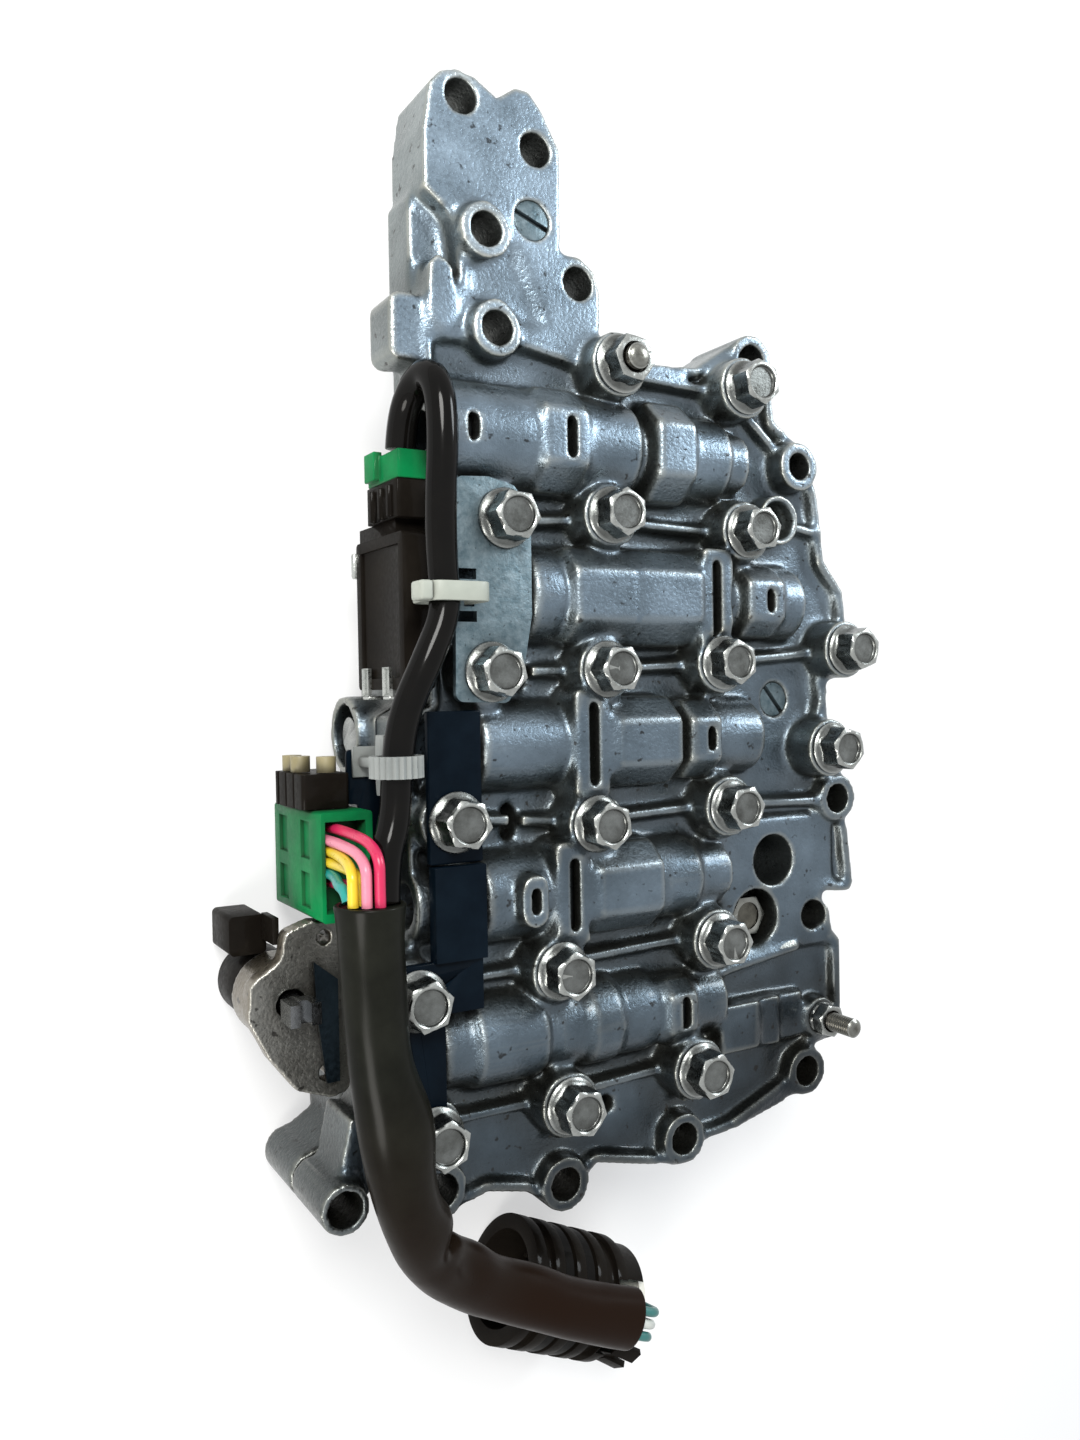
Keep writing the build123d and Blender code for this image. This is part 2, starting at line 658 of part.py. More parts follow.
def spring(x_from, x_to, row):
    length = x_to - x_from
    path = Helix((length - 2 * wire_size) / coil_turns, length - 2 * wire_size, coil_radius)
    section = Plane(path @ 0, x_dir=(0, 0, 1), z_dir=path % 0) * Rectangle(wire_size, wire_size)
    coil = sweep(section, path, is_frenet=True)
    turned = Rot(0, 90, 0) * Pos(0, 0, wire_size) * coil
    return Pos(x_from, bore_rows[row], bore_height) * turned


def bore_plug(row):
    spans = [sorted(plug_span(row))]
    if row == 1:
        spans.append(outer_plug)
    return group(bar(*span, bore_rows[row], bore_height, bore_radius - spool_gap) for span in spans)


def retainer_keys():
    top = pad_height - key_sink
    keys = []
    for x, y, length in key_places():
        half = length / 2 - 0.5
        keys.append(block(x - key_thickness / 2, x + key_thickness / 2, y - half, y + half, key_seat, top))
    return group(keys)


def harness_bracket():
    top = seat_height
    bottom = top - bracket_thickness
    points = [(-41.3, 6.0), (-33.0, 6.5), (-26.5, 5.0), (-22.3, -0.5), (-22.4, -24.0),
              (-25.0, -38.0), (-29.0, -44.0), (-42.0, -43.5)]
    shape = fillet(Polygon(*points, align=None).vertices(), 2.0)
    plate = raised(shape, bottom, top)
    for y in (tie_y + slot_step, tie_y - slot_step):
        plate -= block(-45.0, -36.5, y - 1.2, y + 1.2, bottom - 1, top + 1)
    plate -= [disc(place, bolt_hole_radius, bottom - 1, top + 1) for place in bracket_bolts]
    half = tie_width / 2 + tie_gap
    plate -= block(tie_right - tie_thickness - 3 * tie_gap, tie_right + tie_gap,
                   tie_y - half, tie_y + half, bottom - 1, top + 1)
    return plate


def upper_cover():
    bottom = seat_height - cover_thickness
    plate = block(-49.0, -36.0, -79.0, -45.5, bottom, seat_height)
    return plate - disc(bolt_places[8], bolt_hole_radius, bottom - 1, seat_height + 1)


def lower_cover():
    bottom = seat_height - cover_thickness
    plate = block(-48.5, -36.0, -100.4, -79.5, bottom, seat_height + 1.4)
    plate += block(-51.0, -36.5, -112.0, -100.4, bottom, seat_height)
    plate += block(-57.5, -46.0, -146.0, -100.4, bottom, seat_height)
    for n in (12, 15):
        plate -= disc(bolt_places[n], bolt_hole_radius, bottom - 1, seat_height + 1)
    return plate


def electronics_box():
    right = left_face - side_gap
    left = right - box_thickness
    body = block(left, right, box_bottom, box_top, box_low, box_high)
    body = fillet(body.edges().filter_by(Axis.X), 1.2)
    body -= block(left - 1, left + 0.8, box_bottom + 2.5, box_top - 2.5, box_low + 2.5, box_high - 2.5)
    body += block(left + 0.2, right, box_top - 0.5, box_top + 3.0, box_low + 2.0, box_high - 4.0)
    return body


def module_connector():
    right = left_face - side_gap
    left = right - box_thickness - 0.6
    bottom = box_top + 3.1
    body = block(left, right, bottom, plug_top - 6.5, box_low + 9.0, box_high - 1.0)
    for z in (box_low + 12.0, box_low + 17.0, box_low + 22.0):
        body += block(left - 0.8, left + 1, bottom + 0.4, plug_top - 7.5, z, z + 1.2)
    return body


def connector_lock():
    right = left_face - side_gap
    left = right - box_thickness - 1.6
    bottom = plug_top - 6.4
    lock = block(left + 1.4, right, bottom, plug_top, box_low + 9.0, box_high - 1.0)
    lock += block(left, left + 2, bottom + 1.0, plug_top + 1.0, box_low + 10.0, box_low + 16.0)
    lock -= block(left + 4.0, right - 1.5, bottom + 2.5, plug_top + 2, box_low + 11.0, box_high - 12.0)
    return lock


def module_clips():
    # spring steel tabs bent round the edges of the electronics box
    left = left_face - side_gap - box_thickness
    tabs = []
    for z in (box_low + 4.0, box_high - 11.0):
        tabs.append(block(left - clip_thickness, left, box_bottom - 1.5, box_bottom + 5.0, z, z + 4.0))
        tabs.append(block(left - clip_thickness, left + 5.5, box_bottom - 1.5 - clip_thickness,
                          box_bottom - 1.5, z, z + 4.0))
    z = box_low - 1.0
    tabs.append(block(left - clip_thickness, left + 5.0, box_top - 8.0, box_top - 2.0,
                      z - clip_thickness, z + 1.0))
    return group([tabs[0] + tabs[1], tabs[2] + tabs[3], tabs[4]])


def pressure_solenoid():
    body = bar(solenoid_boss_reach + 4.0, -21.0, solenoid_place_y, solenoid_height,
               solenoid_bore_radius - solenoid_gap)
    nose = bar(solenoid_boss_reach + 1.5, solenoid_boss_reach + 4.5, solenoid_place_y, solenoid_height, 4.5)
    return body + nose


def connector_sheet():
    # thin bent bracket that carries the wiring connectors on the left side
    top = sheet_height + sheet_thickness
    plate = block(-57.8, side_step - side_gap, -92.0, -54.0, sheet_height, top)
    plate += block(-60.5, -57.0, -66.4, -54.0, sheet_height, top)
    plate = fillet(plate.edges().filter_by(Axis.Z), 1.0)
    foot = block(side_step - side_gap - sheet_thickness, side_step - side_gap, -92.0, -64.0,
                 sheet_height - 4.0, sheet_height + 0.5)
    hole = disc((-56.5, -56.8), 1.9, sheet_height - 1, top + 1)
    return plate + foot - hole


def terminal_block():
    body = block(-72.0, -61.0, -66.7, -59.0, 14.0, 34.0)
    body = fillet(body.edges().filter_by(Axis.Y), 1.0)
    for z in (17.0, 22.5, 28.0):
        body -= block(-73.0, -71.0, -67.0, -59.0, z - 0.6, z + 0.6)
    arm = block(-61.5, -54.5, -65.0, -60.5, sheet_height - 8.0, sheet_height - 0.3)
    return body + arm


def terminal_caps():
    spots = [(-69.0, 18.0), (-69.0, 24.0), (-65.0, 30.0)]
    caps = []
    for x, z in spots:
        caps.append(Pos(x, -58.9, z) * Rot(-90, 0, 0) * Cylinder(2.2, 3.6, align=(mid, mid, low)))
    return group(caps)


def green_connector():
    body = block(green_left, green_right, green_bottom, green_top, green_low, green_high)
    body = fillet(body.edges().filter_by(Axis.Z), 0.8)
    mouth = block(green_left + 0.9, green_right - green_wall, green_bottom + 2.0, green_top - 2.0,
                  green_high - 6.0, green_high + 1)
    body -= mouth
    for z in (green_low + 3.5, green_high - 14.0):
        body -= block(green_left - 1, green_left + 0.8, green_bottom + 13.0, green_top - 2.5, z, z + 6.0)
        body -= block(green_left - 1, green_left + 0.8, green_bottom + 2.0, green_bottom + 10.0, z, z + 6.0)
    return body


mouth_x = -66.0
mouth_y = -84.0
mouth_height = seat_height + 7.5
thin_in_mouth = (3.3, -0.5)
wire_starts = [(-66.2, -70.8), (-67.6, -75.6), (-67.9, -73.2), (-67.9, -78.0), (-67.9, -80.4), (-66.6, -82.8)]
wire_ends = [(0.3, 4.8), (-4.4, 2.0), (-2.2, 3.9), (-1.8, 1.0), (-4.5, -0.9), (-1.3, -1.9)]


def rounded_path(points):
    # straight runs joined by arcs, each as large as its two runs allow
    corners = [Vector(*point) for point in points]
    radii = []
    for a, b, c in zip(corners, corners[1:], corners[2:]):
        turn = (b - a).get_angle(c - b)
        shorter = min((b - a).length, (c - b).length)
        radii.append(0.45 * shorter / tan(radians(turn / 2)))
    return FilletPolyline(*corners, radius=radii), radii


def tube(points, radius, name):
    path, radii = rounded_path(points)
    section = Plane(path @ 0, z_dir=path % 0) * Circle(radius)
    solid = sweep(section, path)
    print(name, "length", round(path.length, 1), "radii", [round(r, 1) for r in radii])
    share = solid.volume / (section.area * path.length)
    print(name, "volume against section times length", round(share, 4))
    return solid


thin_end_x = mouth_x + thin_in_mouth[0]
thin_end_z = mouth_height + thin_in_mouth[1]

thin_route = [
    (-50.0, 12.6, 40.6),
    (-49.8, 19.0, 41.2),
    (-48.9, 25.5, 45.5),
    (-48.2, 27.5, 52.0),
    (-47.6, 22.5, 56.5),
    (-47.6, 12.0, 57.6),
    (-48.2, -2.0, 56.8),
    (-47.2, -14.0, 55.0),
    (-46.4, -24.0, 55.2),
    (-51.5, -34.5, 56.0),
    (-56.6, -46.0, 54.5),
    (-58.2, -57.0, 54.2),
    (-59.2, -67.5, 55.6),
    (thin_end_x, -76.0, thin_end_z),
    (thin_end_x, mouth_y - 0.2, thin_end_z),
]

thick_route = [
    (mouth_x, mouth_y - 0.3, mouth_height),
    (mouth_x, -95.0, mouth_height),
    (-65.6, -108.0, 58.6),
    (-64.6, -121.0, 59.4),
    (-62.9, -135.0, 59.6),
    (-58.6, -149.6, 57.0),
    (-51.0, -164.4, 50.2),
    (-38.5, -176.0, 43.6),
    (-23.5, -185.0, 40.6),
    (-8.0, -193.4, 40.2),
    (8.4, -200.4, 40.2),
]


def thin_conduit():
    return tube(thin_route, thin_radius, "thin conduit")


def thick_conduit():
    return tube(thick_route, thick_radius, "thick conduit")


def connector_wire(n):
    # each wire bows out of the green connector and into the conduit's mouth
    x, y = wire_starts[n]
    end_x = mouth_x + wire_ends[n][0]
    end_z = mouth_height + wire_ends[n][1]
    foot = green_high - 5.7
    end_y = mouth_y - 0.25
    near = y < -79
    route = [(x, y, foot), (x, y + 0.3, green_high + (2.0 if near else 3.5))]
    if near:
        route.append((end_x, mouth_y + 3.0, end_z - 5.0))
        route.append((end_x, mouth_y + 2.5, end_z - 1.2))
        end_y = mouth_y + 0.35
    else:
        route.append((end_x - 0.2, y + 0.3 - 0.12 * (y - mouth_y), end_z + 0.4))
        route.append((end_x, mouth_y + 2.2, end_z))
    route.append((end_x, end_y, end_z))
    return route


def green_wires(numbers, name):
    return group(tube(connector_wire(n), wire_radius, name) for n in numbers)


def cable_tie():
    # strap round the thin conduit and the neck between the bracket's two slots
    bottom = seat_height - bracket_thickness - tie_gap - tie_thickness
    top = 55.1 + thin_radius + tie_gap + tie_thickness
    outer = Rectangle(tie_right - tie_left, top - bottom)
    outer = fillet(outer.vertices(), 2.2)
    ring = outer - offset(outer, -tie_thickness)
    plane = Plane.XZ.offset(-(tie_y + tie_width / 2))
    band = extrude(plane * Pos((tie_left + tie_right) / 2, (top + bottom) / 2) * ring, tie_width)
    lock = block(tie_left - 3.6, tie_left + 0.6, tie_y - 2.9, tie_y + 2.9, top - 7.5, top - 1.5)
    return band + lock


def conduit_clip():
    # ribbed ring round the thin conduit with a spread foot pushed into the bracket sheet
    z = 54.2
    x = -58.2
    y = -56.8
    ring = Rot(90, 0, 0) * (Cylinder(thin_radius + 2.1, 4.6) - Cylinder(thin_radius + 0.6, 10))
    clip = Pos(x, y, z) * ring
    for n in range(8):
        angle = n * 45
        tooth = Box(1.2, 4.6, 0.9)
        clip += Pos(x, y, z) * Rot(0, angle, 0) * Pos(0, 0, thin_radius + 2.3) * tooth
    stem = block(-57.6, -55.4, y - 1.1, y + 1.1, sheet_height - 3.0, z - thin_radius - 1.2)
    wings = block(-59.5, -53.5, y - 6.5, y + 6.5, sheet_height + sheet_thickness + 0.1,
                  sheet_height + sheet_thickness + 1.3)
    return clip + stem + wings


def motor_bracket():
    top = seat_height - 18.0
    face = top - motor_flange
    points = [(-61.5, -92.0), (-70.0, -91.6), (-76.0, -93.5), (-77.0, -99.5), (-84.0, -104.0),
              (-84.5, -112.0), (-80.0, -121.0), (-74.0, -129.0), (-66.0, -132.0), (-61.5, -131.0)]
    shape = fillet(Polygon(*points, align=None).vertices(), 2.5)
    plate = raised(shape, face, top)
    collar = disc((motor_x, motor_y), collar_radius, face - collar_length, face)
    web = block(-66.0, -61.5, -128.0, -96.0, face - collar_length, top)
    body = plate + collar + web
    body -= disc((motor_x, motor_y), rod_radius + 0.8, 0, top + 1)
    body -= disc((motor_x, motor_y), collar_radius - 2.0, 0, face - 2.0)
    body -= [disc((-67.0, -95.6), 1.6, face - 1, top + 1), disc((-67.0, -126.0), 1.8, face - 20, top + 1)]
    return body


def motor_top():
    return seat_height - 18.0 - motor_flange - 2.2


def stepper_motor():
    top = motor_top()
    body = disc((motor_x, motor_y), motor_radius, motor_end, top - collar_length + 1.8)
    body += disc((motor_x, motor_y), collar_radius - 2.2, top - collar_length, top)
    body = body - disc((motor_x, motor_y), rod_radius + rod_gap, 12.0, top + 1)
    return body


def motor_rod():
    reach = seat_height - 18.0 + 7.0
    rod = disc((motor_x, motor_y), rod_radius, 12.5, reach)
    fork = block(motor_x - 3.4, motor_x + 3.4, motor_y - 2.4, motor_y + 2.4, reach - 4.0, reach + 3.0)
    fork -= block(motor_x - 1.2, motor_x + 1.2, motor_y - 3, motor_y + 3, reach, reach + 4)
    return rod + fork


def motor_connector():
    body = block(-84.5, -76.0, -100.5, -91.5, 3.0, 18.0)
    body = fillet(body.edges().filter_by(Axis.Z), 1.2)
    body -= block(-83.0, -77.5, -99.0, -93.0, 2.0, 12.0)
    return body


def motor_clip():
    top = seat_height - 18.0 - motor_flange
    return block(-77.2, -75.8, -97.0, -91.0, 18.4, top - 0.2)


def ratio_sheet():
    # thin guide plate beside the motor, held by the foot of its bracket
    top = seat_height - 18.0 + 0.3
    shape = [(-70.0, -100.5), (-64.5, -105.0), (-64.5, -128.0), (-67.5, -128.0), (-69.5, -112.0)]
    return prism(shape, top, top + sheet_thickness)


def case_frame():
    # the middle of the socket's rim, with Z along the connector
    return Pos(case_x, case_y, case_radius + 0.3) * Rot(0, 0, case_turn) * Rot(0, 90, 0)


def case_connector():
    # round housing, its socket towards the left and its wires out of the right end
    shell = Cylinder(case_radius - 1.4, case_length, align=(mid, mid, low))
    for z in (0.0, 6.0, 13.0, 20.0, 27.0):
        shell += Pos(0, 0, z) * Cylinder(case_radius, 3.2, align=(mid, mid, low))
    shell -= Pos(0, 0, -1) * Cylinder(case_bore_radius, case_socket + 1, align=(mid, mid, low))
    rear = case_length - case_recess
    shell -= Pos(0, 0, rear) * Cylinder(retainer_radius + 0.1, 20, align=(mid, mid, low))
    shell -= Pos(-20, 0, rear + 0.2) * Box(40, 19, 20, align=(mid, mid, low))
    for n in range(8):
        angle = radians(n * 45)
        spot = Pos(7.6 * cos(angle), 7.6 * sin(angle), case_socket - 5)
        shell += spot * Cylinder(0.8, 5.5, align=(mid, mid, low))
    shell += Pos(0, 0, case_socket - 3) * Cylinder(2.0, 3.5, align=(mid, mid, low))
    for angle in (-146.0, -120.0):
        wing = Pos(case_radius - 2.0, 0, case_length - 3) * Rot(0, 12, 0)
        shell += Rot(0, 0, angle) * wing * Box(1.6, 4, 7, align=(mid, mid, low))
    return case_frame() * shell


def case_seals():
    rings = []
    for z in (9.5, 16.5):
        ring = Cylinder(case_radius - 0.3, 2.6, align=(mid, mid, low))
        ring -= Cylinder(case_radius - 1.35, 8)
        rings.append(case_frame() * Pos(0, 0, z) * ring)
    return group(rings)


def wire_retainer():
    # white insert with a comb for the wires and an end wall behind them
    rear = case_length - case_recess + 0.1
    end = case_length + 0.8
    insert = Pos(0, 0, rear) * Cylinder(retainer_radius, 2.4, align=(mid, mid, low))
    lower = Pos(0, 0, rear) * Cylinder(retainer_radius, end - rear, align=(mid, mid, low))
    insert += lower & Pos(3.0, 0, rear) * Box(40, 40, 40, align=(low, mid, low))
    insert += Pos(0, 0, end) * Cylinder(retainer_radius - 0.6, retainer_wall, align=(mid, mid, low))
    return case_frame() * insert


def tail_wire(n):
    # wires leave the conduit's end and drop into the comb of the retainer
    column = n % 3 - 1
    outer = n // 3
    last = Vector(*thick_route[-1])
    run = (last - Vector(*thick_route[-2])).normalized()
    across = Vector(-run.Y, run.X, 0).normalized()
    start = last + across * (3.0 * column) + run * 0.05 + Vector(0, 0, -2.0 + 4.0 * outer)
    row = tail_rows[outer]
    high = case_frame() * Pos(-10.0, 4.2 * column, row)
    foot = case_frame() * Pos(-tail_depth + 0.1, 4.2 * column, row)
    bend = start + run * (4.2 + 2.2 * outer)
    return [tuple(point) for point in (start, bend, high.position, foot.position)]


def tail_wires(numbers, name):
    return group(tube(tail_wire(n), wire_radius, name) for n in numbers)


def build():
    pieces = {
        "front_casting": front_casting(),
        "separator_plate": separator_plate(),
        "rear_casting": rear_casting(),
        "body_bolts": body_bolts(),
        "sunk_bolt": sunk_bolt(),
        "body_stud": body_stud(),
        "flange_nut": flange_nut(),
        "small_stud": small_stud(),
        "small_nut": small_nut(),
        "passage_plugs": passage_plugs(),
        "check_balls": check_balls(),
        "retainer_keys": retainer_keys(),
        "harness_bracket": harness_bracket(),
        "upper_cover": upper_cover(),
        "lower_cover": lower_cover(),
        "cable_tie": cable_tie(),
        "conduit_clip": conduit_clip(),
        "electronics_box": electronics_box(),
        "module_connector": module_connector(),
        "connector_lock": connector_lock(),
        "module_clips": module_clips(),
        "pressure_solenoid": pressure_solenoid(),
        "connector_sheet": connector_sheet(),
        "terminal_block": terminal_block(),
        "terminal_caps": terminal_caps(),
        "green_connector": green_connector(),
        "motor_bracket": motor_bracket(),
        "stepper_motor": stepper_motor(),
        "motor_rod": motor_rod(),
        "motor_connector": motor_connector(),
        "motor_clip": motor_clip(),
        "ratio_sheet": ratio_sheet(),
        "thin_conduit": thin_conduit(),
        "thick_conduit": thick_conduit(),
        "wires_crimson": green_wires((0, 5), "crimson wires"),
        "wires_yellow": green_wires((1, 3), "yellow wires"),
        "wire_pink": green_wires((2,), "pink wire"),
        "wire_teal": green_wires((4,), "teal wire"),
        "case_connector": case_connector(),
        "case_seals": case_seals(),
        "wire_retainer": wire_retainer(),
        "tail_wires_light": tail_wires((0, 2, 4), "light tail wires"),
        "tail_wires_dark": tail_wires((1, 3, 5), "dark tail wires"),
        "manual_valve": spool(manual_from, manual_from + manual_length, 3),
    }
    for row in rows:
        number = row + 1
        pieces[f"spool_{number}"] = spool(*sorted(spool_span(row)), row)
        pieces[f"spring_{number}"] = spring(*sorted(spring_span(row)), row)
        pieces[f"bore_plug_{number}"] = bore_plug(row)
    return pieces


os.makedirs("parts", exist_ok=True)
for name, piece in build().items():
    export_step(move_out(piece), f"parts/{name}.step")
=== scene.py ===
from math import atan2, cos, exp, pi, radians, sin

import bmesh
import bpy
import numpy as np
from mathutils import Matrix, Vector, noise


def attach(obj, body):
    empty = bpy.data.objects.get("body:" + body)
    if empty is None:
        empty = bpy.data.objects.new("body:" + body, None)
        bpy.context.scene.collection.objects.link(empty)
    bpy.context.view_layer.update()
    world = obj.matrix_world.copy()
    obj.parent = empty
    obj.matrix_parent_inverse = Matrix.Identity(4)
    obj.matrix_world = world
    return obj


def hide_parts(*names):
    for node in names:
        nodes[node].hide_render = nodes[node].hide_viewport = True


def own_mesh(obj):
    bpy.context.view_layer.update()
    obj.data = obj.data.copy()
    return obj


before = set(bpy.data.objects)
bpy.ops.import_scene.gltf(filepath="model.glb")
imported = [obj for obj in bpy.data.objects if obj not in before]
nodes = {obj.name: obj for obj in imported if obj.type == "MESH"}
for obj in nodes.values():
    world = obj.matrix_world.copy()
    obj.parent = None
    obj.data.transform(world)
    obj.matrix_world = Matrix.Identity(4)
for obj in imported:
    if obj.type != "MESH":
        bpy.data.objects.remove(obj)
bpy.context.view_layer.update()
valveBody = "valve_body"
mm = 0.001
bodyShift = Vector((0.35, 33.65, 0.0))  # from the reference bolt to the frame's origin


def spot(x, y, z):
    return (Vector((x, y, z)) + bodyShift) * mm


# camera
cameraSettings = {
    "place": (-0.15085, -0.00805, 0.2737),
    "right": (0.8636, -0.0171, 0.5039),
    "up": (0.0271, 0.9996, -0.0126),
    "lens": 28.27,
}


def placeCamera(s):
    data = bpy.data.cameras.new("camera")
    data.lens = s["lens"]
    data.sensor_width = 36
    camera = bpy.data.objects.new("camera", data)
    bpy.context.scene.collection.objects.link(camera)
    right = Vector(s["right"]).normalized()
    up = Vector(s["up"]).normalized()
    back = right.cross(up).normalized()
    up = back.cross(right)
    turn = Matrix((right, up, back)).transposed().to_4x4()
    camera.matrix_world = Matrix.Translation(s["place"]) @ turn
    bpy.context.scene.camera = camera
    data.clip_start = 0.01


placeCamera(cameraSettings)
print("camera placed")


# small tools
def newPiece(name, bm, material=None, smooth=True):
    mesh = bpy.data.meshes.new(name)
    bm.to_mesh(mesh)
    bm.free()
    return dress(name, mesh, material, smooth)


def dress(name, mesh, material, smooth=True):
    piece = bpy.data.objects.new(name, mesh)
    bpy.context.scene.collection.objects.link(piece)
    if material:
        mesh.materials.clear()
        mesh.materials.append(material)
    mesh.polygons.foreach_set("use_smooth", [smooth] * len(mesh.polygons))
    return piece


def finishPiece(piece, slot, *replaced, body=valveBody):
    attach(piece, body)
    if replaced:
        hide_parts(*replaced)
    return piece


def evaluated(piece):
    graph = bpy.context.evaluated_depsgraph_get()
    return bpy.data.meshes.new_from_object(piece.evaluated_get(graph))


def lathe(bm, rings, sides, matrix=Matrix(), closed=True):
    # a circle drawn outwards ring by ring; each ring is radius, height and how hexagonal
    radius, height, share = rings[0]
    made = bmesh.ops.create_circle(bm, cap_ends=closed, segments=sides, radius=radius)
    verts = made["verts"]
    everything = list(verts)
    for v in verts:
        v.co.z = height
    edges = list({e for v in verts for e in v.link_edges})
    for radius, height, share in rings[1:]:
        grown = bmesh.ops.extrude_edge_only(bm, edges=edges)
        verts = [g for g in grown["geom"] if isinstance(g, bmesh.types.BMVert)]
        ringVerts = set(verts)
        edges = [g for g in grown["geom"] if isinstance(g, bmesh.types.BMEdge)]
        edges = [e for e in edges if e.verts[0] in ringVerts and e.verts[1] in ringVerts]
        everything += verts
        for v in verts:
            angle = atan2(v.co.y, v.co.x)
            part = (angle + pi / 6) % (pi / 3) - pi / 6
            reach = radius * (1 + share * (1 / cos(part) - 1))
            v.co = Vector((reach * cos(angle), reach * sin(angle), height))
    if closed:
        bmesh.ops.edgeloop_fill(bm, edges=edges)
    else:
        bmesh.ops.remove_doubles(bm, verts=everything, dist=1e-4)
        everything = [v for v in everything if v.is_valid]
    bmesh.ops.transform(bm, matrix=matrix, verts=everything)
    return everything


def slab(bm, low, high, bevel=0.0, segments=2):
    # a block between two corners with rounded edges
    low, high = Vector(low), Vector(high)
    verts = bmesh.ops.create_cube(bm, size=1.0)["verts"]
    bmesh.ops.scale(bm, vec=high - low, verts=verts)
    bmesh.ops.translate(bm, vec=(low + high) / 2, verts=verts)
    if bevel:
        edges = list({e for v in verts for e in v.link_edges})
        made = bmesh.ops.bevel(bm, geom=edges, offset=bevel, offset_type="OFFSET", segments=segments,
                               profile=0.5, affect="EDGES", material=-1)
        verts = made["verts"]
    return verts


def settle(bm):
    # from millimetres at the reference bolt to the frame
    bmesh.ops.translate(bm, vec=bodyShift, verts=bm.verts)
    bmesh.ops.scale(bm, vec=Vector((mm, mm, mm)), verts=bm.verts)
    bmesh.ops.recalc_face_normals(bm, faces=bm.faces)


# node groups shared by the materials
def link(tree, a, b):
    tree.links.new(a, b)


def make(tree, kind, **values):
    made = tree.nodes.new(kind)
    for key, value in values.items():
        if key.startswith("in_"):
            name = key[3:]
            made.inputs[int(name) if name.isdigit() else name.replace("_", " ")].default_value = value
        else:
            setattr(made, key, value)
    return made


def newGroup(name, inputs, outputs):
    group = bpy.data.node_groups.new(name, "ShaderNodeTree")
    for socket, value in inputs.items():
        kind = "NodeSocketColor" if isinstance(value, tuple) else "NodeSocketFloat"
        made = group.interface.new_socket(name=socket, in_out="INPUT", socket_type=kind)
        made.default_value = value
    for socket in outputs:
        group.interface.new_socket(name=socket, in_out="OUTPUT", socket_type="NodeSocketFloat")
    return group, group.nodes.new("NodeGroupInput"), group.nodes.new("NodeGroupOutput")


def useGroup(tree, group, **values):
    made = tree.nodes.new("ShaderNodeGroup")
    made.node_tree = group
    for key, value in values.items():
        made.inputs[key.replace("_", " ")].default_value = value
    return made


def blendColours(tree, factor, a, b, mode="MIX"):
    made = make(tree, "ShaderNodeMix", data_type="RGBA", blend_type=mode)
    for socket, value in ((made.inputs[0], factor), (made.inputs[6], a), (made.inputs[7], b)):
        if isinstance(value, bpy.types.NodeSocket):
            link(tree, value, socket)
        elif isinstance(value, tuple):
            socket.default_value = (*value, 1.0)
        else:
            socket.default_value = value
    return made.outputs[2]


def mapRange(tree, value, low, high, start, end):
    made = make(tree, "ShaderNodeMapRange", in_1=low, in_2=high, in_3=start, in_4=end)
    link(tree, value, made.inputs["Value"])
    return made.outputs["Result"]


def maths(tree, operation, a, b):
    made = make(tree, "ShaderNodeMath", operation=operation)
    for socket, value in ((made.inputs[0], a), (made.inputs[1], b)):
        if isinstance(value, bpy.types.NodeSocket):
            link(tree, value, socket)
        else:
            socket.default_value = value
    return made.outputs["Value"]


def buildGrain():
    # broad patches for the tone, and a fine height for gloss and bump
    group, inside, outside = newGroup("grain", {"Scale": 900.0, "Patch Scale": 40.0}, ["Patch", "Height"])
    place = make(group, "ShaderNodeTexCoord")
    fine = make(group, "ShaderNodeTexNoise", in_Detail=3.0, in_Roughness=0.6)
    patch = make(group, "ShaderNodeTexNoise", in_Detail=5.0, in_Roughness=0.62)
    link(group, place.outputs["Object"], fine.inputs["Vector"])
    link(group, place.outputs["Object"], patch.inputs["Vector"])
    link(group, inside.outputs["Scale"], fine.inputs["Scale"])
    link(group, inside.outputs["Patch Scale"], patch.inputs["Scale"])
    spread = make(group, "ShaderNodeMapRange", in_1=0.3, in_2=0.7)
    link(group, patch.outputs["Fac"], spread.inputs["Value"])
    total = make(group, "ShaderNodeMath", operation="MULTIPLY_ADD", in_1=0.35)
    link(group, patch.outputs["Fac"], total.inputs[0])
    link(group, fine.outputs["Fac"], total.inputs[2])
    link(group, spread.outputs["Result"], outside.inputs["Patch"])
    link(group, total.outputs["Value"], outside.inputs["Height"])
    return group


def buildEdgeWearAndHighlight():
    # one on sharp outer edges, where oil and paint rub off; also a painted highlight on those edges
    group, inside, outside = newGroup("edgeWearAndHighlight", {"From": 0.51, "To": 0.56}, ["Edge"])
    shape = make(group, "ShaderNodeNewGeometry")
    ramp = make(group, "ShaderNodeMapRange")
    link(group, shape.outputs["Pointiness"], ramp.inputs["Value"])
    link(group, inside.outputs["From"], ramp.inputs[1])
    link(group, inside.outputs["To"], ramp.inputs[2])
    link(group, ramp.outputs["Result"], outside.inputs["Edge"])
    return group


def buildHollowShade():
    # painted shade: one on open skin, nothing deep in a hollow
    group, inside, outside = newGroup("hollowShade", {"Reach": 0.006, "Low": 0.35, "High": 0.95}, ["Clean"])
    hollow = make(group, "ShaderNodeAmbientOcclusion", samples=6)
    link(group, inside.outputs["Reach"], hollow.inputs["Distance"])
    ramp = make(group, "ShaderNodeMapRange")
    link(group, hollow.outputs["AO"], ramp.inputs["Value"])
    link(group, inside.outputs["Low"], ramp.inputs[1])
    link(group, inside.outputs["High"], ramp.inputs[2])
    link(group, ramp.outputs["Result"], outside.inputs["Clean"])
    return group
